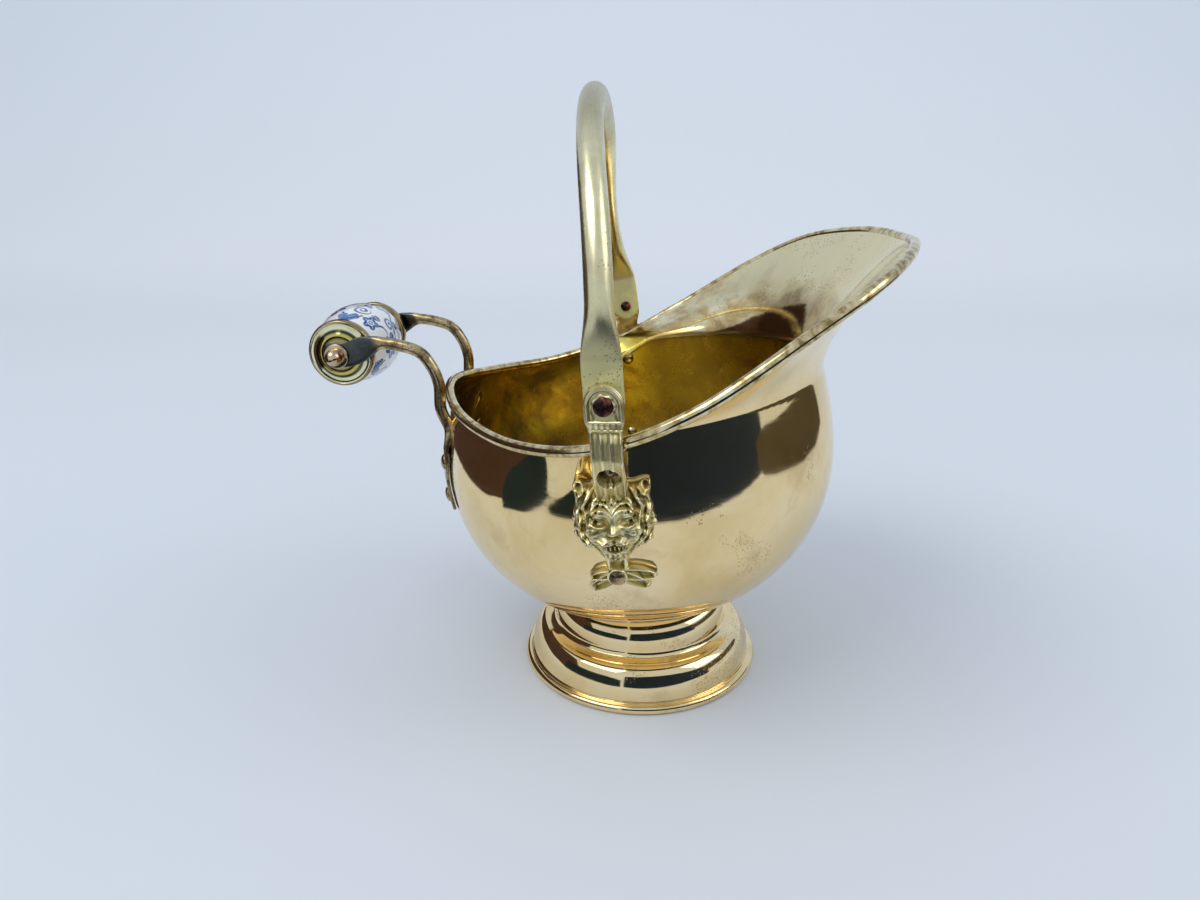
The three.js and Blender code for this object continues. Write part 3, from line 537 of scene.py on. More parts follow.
# %% Outside brass
outside, tree, shader, place = new_material("outside brass")
PIT_BROWN, TARNISH_BROWN = (0.24, 0.15, 0.06), (0.60, 0.42, 0.20)
cloud = use_group(tree, mottle, place, Scale=22.0)
straw = [(0.3, (0.82, 0.60, 0.27)), (0.5, (0.95, 0.73, 0.38)), (0.75, (0.99, 0.83, 0.54))]
spots = use_group(tree, pricks, place, Scale=900.0, Patch_scale=26.0, Spread=0.62)
base = mix_colour(tree, partly(tree, spots, 0.6), ramp(tree, cloud, straw), PIT_BROWN)
tarnish = fade(tree, use_group(tree, mottle, place, Scale=48.0), (0.56, 0.0), (0.70, 0.45))
base = mix_colour(tree, tarnish, base, TARNISH_BROWN)
rough = fade(tree, use_group(tree, hairs, place), (0.35, 0.045), (0.7, 0.11))
rough = mix_colour(tree, partly(tree, spots, 0.7), rough, grey(0.6))
waves = noise(tree, place, 32.0, 2.5)
finish_metal(tree, shader, base, rough, waves, strength=0.45, distance=0.0007)
print("outside brass has", len(tree.nodes), "nodes")

# %% [markdown]
# ### Inside: golden and stained
# The inside was never polished back. It is a deep golden yellow with brown and nearly black
# clouds, and brighter yellow flakes where coal rubbed it. It is also darker in patches towards the
# back. Each of these is one noise of its own size, laid over the last.

# %% Inside brass: the golden bulb
inside, tree, shader, place = new_material("inside brass")
STAIN_BROWN, FLAKE_YELLOW, REAR_DARK = (0.62, 0.43, 0.08), (1.0, 0.85, 0.20), (0.115, 0.095, 0.075)
cloud = use_group(tree, mottle, place, Scale=42.0)
golds = [
    (0.40, (0.20, 0.12, 0.04)),
    (0.47, (0.66, 0.44, 0.06)),
    (0.53, (1.0, 0.73, 0.09)),
    (0.61, (1.0, 0.90, 0.22)),
]
stain = fade(tree, use_group(tree, mottle, place, Scale=13.0), (0.42, 0.0), (0.58, 0.85))
gold = mix_colour(tree, stain, ramp(tree, cloud, golds), STAIN_BROWN)
flakes = fade(tree, use_group(tree, mottle, place, Scale=150.0), (0.62, 0.0), (0.68, 0.5))
gold = mix_colour(tree, flakes, gold, FLAKE_YELLOW)
# Darker in patches towards the back, from x = 15 mm to x = -40 mm.
rear = map_range(tree, axis_of(tree, place, 0), 0.015, -0.040)
rear_darkening = fade(tree, use_group(tree, mottle, place, Scale=26.0), (0.40, 1.0), (0.62, 0.25))
gold = mix_colour(tree, partly(tree, rear, rear_darkening), gold, REAR_DARK)
print("darkened from x = 15 mm backwards to x = -40 mm")

# %% [markdown]
# The spout is another matter. The neck's crease gets a dark line of painted shade, and above it the
# metal is first stained, then clears to the same pale brass as outside. Height along the bowl's
# leaning axis tells where that is, and a little noise makes the border wander.

# %% Inside brass: neck and spout
axis = (-math.sin(BOWL_LEAN), 0.0, math.cos(BOWL_LEAN))
along_axis = add_node(
    tree, "ShaderNodeVectorMath", {0: place, 1: axis}, operation="DOT_PRODUCT"
).outputs["Value"]
seat_along = float(np.dot((BOWL_SEAT + [shift, 0, 0]) / 1000, axis))
neck_rise = math_node(tree, "SUBTRACT", along_axis, seat_along + NECK_HEIGHT / 1000)
wander = math_node(tree, "SUBTRACT", noise(tree, place, 70.0, 4.0), 0.5)
clear = math_node(tree, "ADD", neck_rise, partly(tree, wander, 0.030))
clear = map_range(tree, clear, 0.014, 0.030)
pale = mix_colour(tree, cloud, (0.80, 0.66, 0.35), (0.97, 0.86, 0.54))
stained = [(0.40, (0.34, 0.22, 0.10)), (0.50, (0.66, 0.48, 0.22)), (0.60, (0.96, 0.84, 0.54))]
root = ramp(tree, use_group(tree, mottle, place, Scale=30.0), stained)
over_neck = map_range(tree, neck_rise, 0.0, 0.004)
base = mix_colour(tree, clear, mix_colour(tree, over_neck, gold, root), pale)
# Painted shade: a dark line along the neck's crease, just above the neck.
crease = math_node(tree, "ABSOLUTE", math_node(tree, "SUBTRACT", neck_rise, 0.0015))
crease = fade(tree, partly(tree, crease, 300.0), (0.12, 0.85), (0.40, 0.0))
base = mix_colour(tree, crease, base, (0.16, 0.10, 0.04))
spots = use_group(tree, pricks, place, Scale=700.0, Patch_scale=45.0, Spread=0.56)
base = mix_colour(tree, partly(tree, spots, 0.5), base, (0.16, 0.09, 0.03))
rough = mix_colour(tree, over_neck, fade(tree, cloud, (0.3, 0.38), (0.7, 0.17)), grey(0.09))
finish_metal(tree, shader, base, rough, cloud, strength=0.3, distance=0.0004)
print("the neck's crease is", round(1000 * seat_along + NECK_HEIGHT, 1), "mm along the axis")

# %% [markdown]
# ### Rolled bead and brushed bail
# The bead is worn to a fine brown and straw mottling. The bail is brushed across to an olive
# satin: paler and rougher on its hammered ends, darker on top where the hand holds it. Its height
# above the floor drives that change, so no painting is needed.

# %% Bead and bail
bead_brass, tree, shader, place = new_material("bead brass")
cloud = use_group(tree, mottle, place, Scale=230.0)
worn = [(0.36, (0.30, 0.20, 0.08)), (0.46, (0.60, 0.47, 0.23)), (0.66, (0.90, 0.79, 0.50))]
rough = fade(tree, cloud, (0.3, 0.3), (0.5, 0.10))
finish_metal(tree, shader, ramp(tree, cloud, worn), rough, cloud, 0.12)

brushed, tree, shader, place = new_material("brushed brass")
BAIL_FLATS, BAIL_TOP = 0.150, 0.254  # heights of the hammered ends and of the top, in metres
scratch = use_group(tree, hairs, place, Stretch=(1400.0, 60.0, 60.0))
height = map_range(tree, axis_of(tree, place, 2), BAIL_FLATS, BAIL_TOP)
satin = [
    (0.10, (1.0, 0.97, 0.52)),
    (0.22, (0.92, 0.84, 0.52)),
    (0.75, (0.86, 0.80, 0.52)),
    (0.97, (0.48, 0.44, 0.29)),
]
handled = fade(tree, use_group(tree, mottle, place, Scale=45.0), (0.42, 0.45), (0.60, 0.0))
base = mix_colour(tree, handled, ramp(tree, height, satin), (0.52, 0.44, 0.22))
spots = use_group(tree, pricks, place, Scale=800.0, Patch_scale=55.0, Spread=0.60)
base = mix_colour(tree, partly(tree, spots, 0.5), base, (0.22, 0.15, 0.06))
on_flats = fade(tree, height, (0.12, 1.0), (0.26, 0.0))
rough = mix_colour(tree, on_flats, fade(tree, scratch, (0.3, 0.20), (0.7, 0.32)), grey(0.62))
finish_metal(tree, shader, base, rough, scratch, 0.15)
print("bead and bail finishes ready")

# %% [markdown]
# ### Cast brass
# Castings are bright on their high places and brown in their hollows, where polish never reaches.
# The pointiness of the mesh tells the two apart, since the relief is real geometry.


# %% Castings
def pointed(tree, low, high):
    edge = add_node(tree, "ShaderNodeNewGeometry").outputs["Pointiness"]
    return map_range(tree, edge, low, high)


cast, tree, shader, place = new_material("cast brass")
high = pointed(tree, 0.42, 0.57)
cloud = use_group(tree, mottle, place, Scale=150.0)
hollow_to_edge = [
    (0.12, (0.10, 0.07, 0.03)),
    (0.36, (0.55, 0.45, 0.16)),
    (0.55, (0.81, 0.71, 0.38)),
    (0.85, (0.98, 0.89, 0.58)),
]
dull = fade(tree, cloud, (0.50, 0.0), (0.66, 0.6))
base = mix_colour(tree, dull, ramp(tree, high, hollow_to_edge), (0.40, 0.29, 0.09))
rough = mix_colour(tree, high, grey(0.50), grey(0.20))
finish_metal(tree, shader, base, rough, cloud, strength=0.45, distance=0.0003)
print("cast brass has", len(tree.nodes), "nodes")

# %% [markdown]
# ### Spun cups
# The cups are old brass with dark wax left in their steps, so their colour changes in rings. The
# rings come from the distance to the grip's rod, measured across it; the scaling drops the part of
# the distance that runs along the rod.

# %% Cups
cup_brass, tree, shader, place = new_material("cup brass")
cloud = use_group(tree, mottle, place, Scale=90.0)
grip_middle = ((GRIP_X + shift) / 1000, 0.0, GRIP_Z / 1000)
ACROSS_ROD = (100.0, 0.0, 100.0)
RING_SCALE = 0.6  # a ramp's place is this share of the radius in centimetres
off_middle = add_node(
    tree, "ShaderNodeVectorMath", {0: place, 1: grip_middle}, operation="SUBTRACT"
).outputs[0]
across_rod = add_node(
    tree, "ShaderNodeVectorMath", {0: off_middle, 1: ACROSS_ROD}, operation="MULTIPLY"
).outputs[0]
from_rod = add_node(
    tree, "ShaderNodeVectorMath", {0: across_rod}, operation="LENGTH"
).outputs["Value"]
cup_rings = [
    (0.36, (0.42, 0.35, 0.15)),
    (0.42, (0.03, 0.03, 0.02)),
    (0.465, (0.80, 0.64, 0.14)),
    (0.52, (0.56, 0.48, 0.15)),
    (0.55, (0.03, 0.05, 0.035)),
    (0.59, (0.05, 0.07, 0.04)),
    (0.63, (0.92, 0.87, 0.56)),
    (0.75, (0.88, 0.82, 0.50)),
    (0.79, (0.34, 0.25, 0.12)),
]
base = ramp(tree, partly(tree, from_rod, RING_SCALE), cup_rings)
dull = fade(tree, cloud, (0.48, 0.0), (0.68, 0.6))
base = mix_colour(tree, dull, base, (0.34, 0.28, 0.11))
rough = fade(tree, cloud, (0.3, 0.07), (0.7, 0.20))
finish_metal(tree, shader, base, rough, cloud, 0.12)
print("cup rings:", len(cup_rings))

# %% [markdown]
# ### Aged rods, nuts and copper
# The arms and most rivets are bronzed with age and speckled. The arms' flat eyes beside the cups
# are painted nearly black, a painted reflection of the dark surround they mirror. The ball nuts are
# warmer and smoother from being turned by hand. The bail's rivets are dark copper.

# %% Aged brass, nuts and copper
EYE_START, EYE_END = GRIP_X + 18.0, GRIP_X + 15.0
aged, tree, shader, place = new_material("aged brass")
cloud = use_group(tree, mottle, place, Scale=150.0)
bronzed = [(0.38, (0.12, 0.08, 0.04)), (0.5, (0.44, 0.33, 0.17)), (0.66, (0.66, 0.52, 0.30))]
specks = use_group(tree, pricks, place, Scale=650.0, Patch_scale=80.0, Spread=0.50)
base = mix_colour(tree, partly(tree, specks, 0.7), ramp(tree, cloud, bronzed), (0.06, 0.045, 0.03))
# Painted reflection: the arms' flat eyes are painted nearly black for the dark surround they
# mirror.
eye_painted_reflection = map_range(
    tree, axis_of(tree, place, 0), (shift + EYE_START) / 1000, (shift + EYE_END) / 1000
)
base = mix_colour(tree, eye_painted_reflection, base, (0.10, 0.105, 0.10))
finish_metal(tree, shader, base, fade(tree, cloud, (0.3, 0.36), (0.7, 0.15)), cloud, 0.3)

nut_brass, tree, shader, place = new_material("nut brass")
cloud = use_group(tree, mottle, place, Scale=200.0)
warm = [(0.36, (0.36, 0.22, 0.13)), (0.52, (0.66, 0.48, 0.33)), (0.7, (0.82, 0.66, 0.46))]
rough = fade(tree, cloud, (0.3, 0.22), (0.6, 0.10))
finish_metal(tree, shader, ramp(tree, cloud, warm), rough, cloud, 0.12)

copper, tree, shader, place = new_material("copper")
cloud = use_group(tree, mottle, place, Scale=260.0)
dark_copper = [(0.42, (0.025, 0.015, 0.015)), (0.62, (0.27, 0.095, 0.065))]
finish_metal(tree, shader, ramp(tree, cloud, dark_copper), 0.34, cloud, 0.3)
print("the arms' eyes start at x =", EYE_START, "mm")

# %% [markdown]
# ### Glazed porcelain
# The grip is white porcelain under a clear glaze. The blue isn't a texture: the mesh carries an
# attribute called blue, made further down, and the material only reads it as a mask.

# %% Porcelain
glaze, tree, shader, place = new_material("glazed porcelain")
paint = add_node(tree, "ShaderNodeAttribute", attribute_name="blue").outputs["Fac"]
body_cloud = use_group(tree, mottle, place, Scale=60.0)
white = mix_colour(tree, body_cloud, (0.80, 0.82, 0.82), (0.90, 0.91, 0.90))
cobalt = [(0.38, (0.004, 0.045, 0.20)), (0.62, (0.03, 0.17, 0.46))]
blue = ramp(tree, use_group(tree, mottle, place, Scale=300.0), cobalt)
tree.links.new(mix_colour(tree, paint, white, blue), shader.inputs["Base Color"])
shader.inputs["Roughness"].default_value = 0.06
shader.inputs["Coat Weight"].default_value = 0.5
print("materials:", sorted(m.name for m in bpy.data.materials if m.users))

# %% [markdown]
# ## The bowl
# The real bowl is spun from one sheet. A lathe alone can't make it, because the flare's height and
# reach change all the way round, so each column of a grid gets its own profile up to the mouth's
# edge. The same grid, moved inwards by the sheet's thickness, is the inside with its own finish.


# %% Bowl shell
def offset_rows(profile, distance):
    """Moves columns of [radius, height] rows along their own normals; positive is outwards."""
    before = np.concatenate([profile[:, :1], profile[:, :-1]], 1)
    after = np.concatenate([profile[:, 1:], profile[:, -1:]], 1)
    along = after - before
    normal = np.stack([along[..., 1], -along[..., 0]], -1)
    normal /= np.linalg.norm(normal, axis=-1, keepdims=True)
    normal[:, 0] = (0, -1)
    return profile + distance * normal


BOWL_COLUMNS, BULB_ROWS, FLARE_ROWS = 288, 56, 69
edge_points = closed_spline(EDGE_STATIONS, np.arange(BOWL_COLUMNS) / BOWL_COLUMNS)
edge_at = into_bowl(edge_points)
column_angle = np.arctan2(edge_at[:, 1], edge_at[:, 0])
column_top = edge_at[:, 2]
low_rows = BOWL_DEPTH * (1 - np.cos(np.linspace(0, math.pi / 2, BULB_ROWS)))
high_rows = np.linspace(0, 1, FLARE_ROWS + 1)[1:]
rows_of = np.concatenate(
    [
        np.repeat(low_rows[None], BOWL_COLUMNS, 0),
        BOWL_DEPTH + (column_top[:, None] - BOWL_DEPTH) * high_rows[None],
    ],
    1,
)
angle_of = np.repeat(column_angle[:, None], rows_of.shape[1], 1)
outer = np.stack([wall_radius(angle_of, rows_of), rows_of], -1)
outer[:, 0, 0] = 0
inner = offset_rows(outer, -SHEET)
inner[:, 0, 0] = 0
wall = np.concatenate([outer, inner[:, ::-1]], 1)
turn = column_angle[:, None]
shell = np.stack([wall[..., 0] * np.cos(turn), wall[..., 0] * np.sin(turn), wall[..., 1]], -1)
shell = out_of_bowl(shell.reshape(-1, 3))
shell_rows = wall.shape[1]
shell_faces = grid_faces(BOWL_COLUMNS, shell_rows, wrap_rows=True, wrap_columns=False)
face_row = np.tile(np.arange(shell_rows - 1), BOWL_COLUMNS)
inside_slot = (face_row >= outer.shape[1]).astype(int)
bowl = mesh_object("bowl_sheet", shell, shell_faces, [outside, inside], slots=inside_slot)
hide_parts("bowl")
print("bowl faces:", len(bowl.data.polygons))

# %% [markdown]
# ## The rolled bead
# The mouth's edge is rolled over a wire, which shows as an even round bead. It follows a path, so
# Geometry Nodes carry a circle along the closed edge; the bead's radius is the tree's input.


# %% Helpers for Geometry Nodes
def geometry_tree(name, inputs):
    tree = bpy.data.node_groups.new(name, "GeometryNodeTree")
    tree.interface.new_socket("Geometry", in_out="INPUT", socket_type="NodeSocketGeometry")
    for label, kind in inputs:
        tree.interface.new_socket(label, in_out="INPUT", socket_type=kind)
    tree.interface.new_socket("Geometry", in_out="OUTPUT", socket_type="NodeSocketGeometry")
    return tree, tree.nodes.new("NodeGroupInput"), tree.nodes.new("NodeGroupOutput")


def finish_tree(tree, geometry, leave, material):
    """Smooth, real and with a material: what every tree ends in."""
    smooth_faces = add_node(tree, "GeometryNodeSetShadeSmooth", {0: geometry})
    real = add_node(tree, "GeometryNodeRealizeInstances", {0: smooth_faces.outputs[0]})
    dressed = add_node(tree, "GeometryNodeSetMaterial", {0: real.outputs[0]})
    dressed.inputs["Material"].default_value = material
    tree.links.new(dressed.outputs[0], leave.inputs[0])


def grown(name, tree, points, edges, values, body="scuttle", attributes=None):
    """Runs a tree on guide points and keeps the result as a plain mesh on its body."""
    guide = bpy.data.meshes.new(name)
    guide.from_pydata([tuple(p) for p in points], edges, [])
    for label, vectors in (attributes or {}).items():
        layer = guide.attributes.new(label, "FLOAT_VECTOR", "POINT")
        layer.data.foreach_set("vector", np.asarray(vectors, float).ravel())
    obj = bpy.data.objects.new(name, guide)
    bpy.context.scene.collection.objects.link(obj)
    modifier = obj.modifiers.new(name, "NODES")
    modifier.node_group = tree
    for item in tree.interface.items_tree:
        if item.in_out == "INPUT" and item.name in values:
            modifier[item.identifier] = values[item.name]
    evaluated = obj.evaluated_get(bpy.context.evaluated_depsgraph_get())
    plain = bpy.data.meshes.new_from_object(evaluated)
    obj.modifiers.clear()
    obj.data = plain
    work = bmesh.new()
    work.from_mesh(plain)
    bmesh.ops.remove_doubles(work, verts=work.verts, dist=1e-6)
    bmesh.ops.recalc_face_normals(work, faces=work.faces)
    work.to_mesh(plain)
    work.free()
    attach(obj, body)
    print(name, "has", len(plain.polygons), "faces")
    return obj


print("geometry helpers ready")

# %% [markdown]
# The bead's own tree is short: the guide edges become a curve, a circle is carried along it, and
# the result is made real. The path is the same spline that bounds the bowl, so the bead sits
# exactly on the sheet's edge.

# %% The bead
BEAD_SIDES, BEAD_POINTS = 18, 480
bead_tree, entry, leave = geometry_tree("Bead along an edge", [("Radius", "NodeSocketFloat")])
path = add_node(bead_tree, "GeometryNodeMeshToCurve", {0: entry.outputs[0]})
circle = add_node(
    bead_tree,
    "GeometryNodeCurvePrimitiveCircle",
    {"Resolution": BEAD_SIDES, "Radius": entry.outputs[1]},
)
carried = add_node(
    bead_tree,
    "GeometryNodeCurveToMesh",
    {"Curve": path.outputs[0], "Profile Curve": circle.outputs[0]},
)
finish_tree(bead_tree, carried.outputs[0], leave, bead_brass)
bead_path = to_frame(closed_spline(EDGE_STATIONS, np.arange(BEAD_POINTS) / BEAD_POINTS))
bead_edges = [(k, (k + 1) % BEAD_POINTS) for k in range(BEAD_POINTS)]
bead = grown("mouth_bead_roll", bead_tree, bead_path, bead_edges, {"Radius": BEAD_RADIUS / 1000})
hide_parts("mouth_bead")

# %% [markdown]
# ## The foot
# The foot is turned: a rolled bead on the floor, a skirt that swells inwards, a ledge and an
# upright neck. The neck has to end on the leaning bowl, so the height of its top row is found,
# column by column, where it meets the bowl's wall.

# %% Foot
FOOT_COLUMNS = 192
BEAD_RING, BEAD_HALF_HEIGHT = 53.0, 2.0  # the floor bead: where its middle runs, and its radius
NECK_OUTSIDE, NECK_INSIDE, LEDGE_TOP = 39.6, 38.4, 24.0
INTO_BOWL = 0.25  # how far the neck reaches up into the bowl's wall
foot_turn = np.linspace(0, 2 * math.pi, FOOT_COLUMNS, endpoint=False)


def height_under_bowl(radius):
    """Heights, column by column, where an upright wall of this radius meets the bowl."""
    low, high = np.full(FOOT_COLUMNS, 20.0), np.full(FOOT_COLUMNS, 70.0)
    for _ in range(40):
        middle = (low + high) / 2
        spot = np.stack([radius * np.cos(foot_turn), radius * np.sin(foot_turn), middle], -1)
        local = into_bowl(spot)
        below = np.hypot(local[:, 0], local[:, 1]) > bulb_radius(np.maximum(local[:, 2], 0))
        low, high = np.where(below, middle, low), np.where(below, high, middle)
    return low


def skirt(top_radius, spread, bottom, rise, turn):
    """A quarter of a soft ellipse, from the floor bead up to the ledge."""
    radius = top_radius + spread * np.cos(turn) ** 0.9
    return np.stack([radius, bottom + rise * np.sin(turn) ** 1.15], 1)


bead_turn = np.radians(np.linspace(-90, 105, 26))
skirt_turn = np.linspace(0.02, math.pi / 2, 34)
floor_bead = np.stack([np.cos(bead_turn), 1 + np.sin(bead_turn)], 1) * BEAD_HALF_HEIGHT
ledge = [(43.4, 18.7), (40.8, 19.5), (NECK_OUTSIDE, 21.4), (NECK_OUTSIDE, LEDGE_TOP)]
foot_outside = np.vstack(
    [floor_bead + [BEAD_RING, 0], skirt(44, 7.8, 3.8, 14.8, skirt_turn), rounded(ledge, 0.7, 4)]
)
foot_inside = np.vstack(
    [
        [(NECK_INSIDE, LEDGE_TOP), (NECK_INSIDE, 19.9)],
        skirt(43.2, 7.5, 3.4, 13.6, skirt_turn[::-1]),
        [(51.2, 2.0), (51.5, 0.0)],
    ]
)
outside_rows = lathe_points(foot_outside, FOOT_COLUMNS).reshape(-1, FOOT_COLUMNS, 3)
inside_rows = lathe_points(foot_inside, FOOT_COLUMNS).reshape(-1, FOOT_COLUMNS, 3)
tops = []
for radius in (NECK_OUTSIDE, NECK_INSIDE):
    top = height_under_bowl(radius) + INTO_BOWL
    tops.append(np.stack([radius * np.cos(foot_turn), radius * np.sin(foot_turn), top], -1)[None])
foot_rows = np.concatenate([outside_rows, tops[0], tops[1], inside_rows])
foot_faces = grid_faces(len(foot_rows), FOOT_COLUMNS, wrap_rows=True)
foot = mesh_object("foot_turned", foot_rows.reshape(-1, 3), foot_faces, outside)
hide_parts("foot")
print("foot rows:", len(foot_rows))

# %% [markdown]
# ## The bail
# The bail is a tube bent into a hoop, whose ends were hammered flat and drilled. One section is
# carried along the hoop. It is a circle on top and turns into a wide, thin lozenge towards each
# end, and past the pivot the lozenge narrows to a round tip. Use has bent the legs out of line,
# the right one forwards and the left one back, most of all half way up.

# %% Bail
PIVOT = np.array([-10.5, 0.0, 151.0])
BAIL_LEAN = math.radians(4.9)
TUBE, SPAN, RISE = 9.5, 93.4, 98.5
FLAT_WIDTH, FLAT_THICKNESS, FLAT_LENGTH, SWELL = 13.6, 2.4, 15.3, 17.0
BOW_RIGHT, BOW_LEFT = 1.5, 4.6  # how far the legs are bent out of line


def section_ring(half_wide, half_thick, power, count):
    """A superellipse: power 2 is round, and a high power is nearly a rectangle."""
    turn = np.linspace(0, 2 * math.pi, count, endpoint=False)
    wide, thick = np.cos(turn), np.sin(turn)
    return np.stack(
        [
            half_wide * np.sign(wide) * np.abs(wide) ** (2 / power),
            half_thick * np.sign(thick) * np.abs(thick) ** (2 / power),
        ],
        1,
    )


arch = np.linspace(0, math.pi, 260)
hoop_height = FLAT_LENGTH + (RISE - FLAT_LENGTH) * np.sin(arch)
hoop = np.stack([0 * arch, SPAN * np.cos(arch), hoop_height], 1)
tip = FLAT_WIDTH / 2
round_tip = -tip * np.cos(np.linspace(0, math.pi / 2, 16))[:-1] ** 0.8
leg = np.concatenate([round_tip, np.linspace(0, FLAT_LENGTH - 0.4, 20)])
leg_up = np.stack([0 * leg, 0 * leg + SPAN, leg], 1)
hoop = np.vstack([leg_up, hoop, leg_up[::-1] * [1, -1, 1]])
bow = np.where(hoop[:, 1] < 0, BOW_RIGHT, -BOW_LEFT)
hoop[:, 0] = bow * np.sin(math.pi * np.clip(hoop[:, 2] / RISE, 0, 1)) ** 2
rings = []
for point in hoop:
    height = point[2]
    round_share = float(smooth(height, FLAT_LENGTH - 1, FLAT_LENGTH + SWELL))
    thick = (FLAT_THICKNESS + (TUBE - FLAT_THICKNESS) * round_share**0.6) / 2
    wide = (FLAT_WIDTH + (TUBE - FLAT_WIDTH) * round_share**0.7) / 2
    if height < 0:
        wide = max(0.4, math.sqrt(max(0, tip**2 - height**2)))
    rings.append(section_ring(wide, thick, 5 - 3 * round_share**0.5, 40))
hoop_rings = swept(hoop, np.array(rings), (1, 0, 0))
points, faces = capped_tube(hoop_rings)
bail_points = points @ leaning(BAIL_LEAN).T + PIVOT
bail = mesh_object("bail_hoop", bail_points, faces, brushed, body="bail")
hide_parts("bail")
print("bail top at", round(float(bail_points[:, 2].max()), 1), "mm")

# %% [markdown]
# ## Finding places on the bowl
# The castings, rivets and arms all sit on the bowl's wall. A spot is found by walking outwards
# until the wall is crossed, and the way it faces is the slope of the distance to the wall.


# %% Spots on the wall
def off_wall(points):
    """How far points are outside the bowl's wall, measured from its axis."""
    local = into_bowl(points)
    return np.hypot(local[..., 0], local[..., 1]) - wall_radius(
        np.arctan2(local[..., 1], local[..., 0]), local[..., 2]
    )


def wall_along(start, heading, reach=120.0):
    """The points where lines from start along heading cross the wall, all at once."""
    low, high = np.zeros(start.shape[:-1]), np.full(start.shape[:-1], reach)
    for _ in range(34):
        middle = (low + high) / 2
        inside_wall = off_wall(start + heading * middle[..., None]) < 0
        low, high = np.where(inside_wall, middle, low), np.where(inside_wall, high, middle)
    return start + heading * low[..., None]


def facing(points):
    steps = np.eye(3) * 0.5
    slope = np.stack([off_wall(points + step) - off_wall(points - step) for step in steps], -1)
    return slope / np.linalg.norm(slope, axis=-1, keepdims=True)


def wall_side(x, z):
    """Half width of the bowl at a place along it and a height."""
    start = np.stack([x, 0 * x, z], -1)
    return wall_along(start, np.array([0.0, 1.0, 0.0]))[..., 1]


MOUNT_X, MOUNT_Z = -6.4, 84.0
MOUNT_LEAN = math.atan2(MOUNT_X - PIVOT[0], PIVOT[2] - MOUNT_Z)
PIVOT_RISE = math.hypot(MOUNT_X - PIVOT[0], PIVOT[2] - MOUNT_Z)
LEAN_COS, LEAN_SIN = math.cos(MOUNT_LEAN), math.sin(MOUNT_LEAN)


def mount_xz(across, rise):
    return (
        MOUNT_X + across * LEAN_COS - rise * LEAN_SIN,
        MOUNT_Z + across * LEAN_SIN + rise * LEAN_COS,
    )


def on_mount(across, rise, out, side):
    """Mount coordinates: along the scuttle, up the strap, and out from the middle plane."""
    x, z = mount_xz(across, rise)
    return np.stack([x, side * out, z], -1)


def mount_wall(across, rise):
    return wall_side(*mount_xz(across, rise))


print("bowl's half width behind the lower rivet:", mount_wall(np.zeros(1), np.zeros(1)).round(2))

# %% [markdown]
# ## The lion masks
# Each mask is a thin brass casting. Its relief is a height over a grid of rings that run from the
# nose out to the curly outline: a dome, then brows, eye hollows, nose, muzzle, teeth and chin as
# soft bumps, and the mane as waves that flow down beside the face. The back follows the bowl.


# %% Outline of the mask
GROUND = 83.0  # distance of the relief's ground from the middle plane
MASK_RISE = 21.5  # the nose's height above the lower rivet


def bump(x, y, middle_x, middle_y, width, height):
    return np.exp(-(((x - middle_x) / width) ** 2) - ((y - middle_y) / height) ** 2)


def ridge(distance, width):
    return np.exp(-((distance / width) ** 2))


def mask_reach(turn):
    """How far the mask's outline is from the nose, in each direction."""
    across, up = np.abs(np.cos(turn)), np.sin(turn)
    face = 1 / np.hypot(across / 14.4, up / np.where(up > 0, 18.5, 15.5))
    ear = 3.8 * bump(across, up, 0.66, 0.75, 0.15, 0.18)
    temple = -1.8 * bump(across, up, 0.36, 0.93, 0.2, 0.12)
    jaw = -2.4 * bump(across, up, 0.55, -0.83, 0.3, 0.3)
    locks = (0.5 * np.cos(13 * turn) + 0.35 * np.cos(29 * turn + 1)) * ridge(up + 0.1, 0.6)
    return face + ear + temple + jaw + locks


print("mask reaches", mask_reach(np.array([math.pi / 2])).round(1), "mm above the nose")

# %% [markdown]
# A modeller in wax would press hollows and lay on small rolls, and the relief is built the same
# way. Broad forms come from a short table of soft bumps. Lids, wrinkles and lips are narrow ridges
# along curves, and the mane is a set of waves bent to flow round the face. Each form is symmetric,
# because it is worked out from the distance beside the nose.

# %% Relief of the mask
# Soft bumps and hollows as [height, beside the nose, above it, half width, half height].
# A row beside the nose makes a pair.
FACE_BUMPS = [
    (1.7, 4.6, 6.4, 3.2, 1.7),  # brows
    (1.2, 7.4, -1.6, 1.9, 3.4),  # cheeks
    (2.0, 0, 3.6, 1.6, 4.0),  # bridge of the nose
    (3.6, 0, -0.3, 2.5, 1.9),  # its tip
    (-1.7, 0, -2.7, 2.3, 0.65),  # the fold under it
    (-1.2, 1.4, -1.9, 0.55, 0.45),  # nostrils
    (-3.0, 5.3, 2.5, 2.4, 1.6),  # eye hollows
    (1.5, 5.5, 2.4, 1.3, 0.9),  # eyeballs
    (-2.2, 6.1, 2.1, 0.5, 0.5),  # pupils
    (2.2, 2.9, -4.6, 2.5, 1.8),  # muzzle
    (-0.9, 0, -4.8, 0.5, 1.6),  # its cleft
    (-2.6, 0, -7.9, 3.9, 1.3),  # mouth
    (1.6, 0, -12.4, 3.2, 2.0),  # chin
]


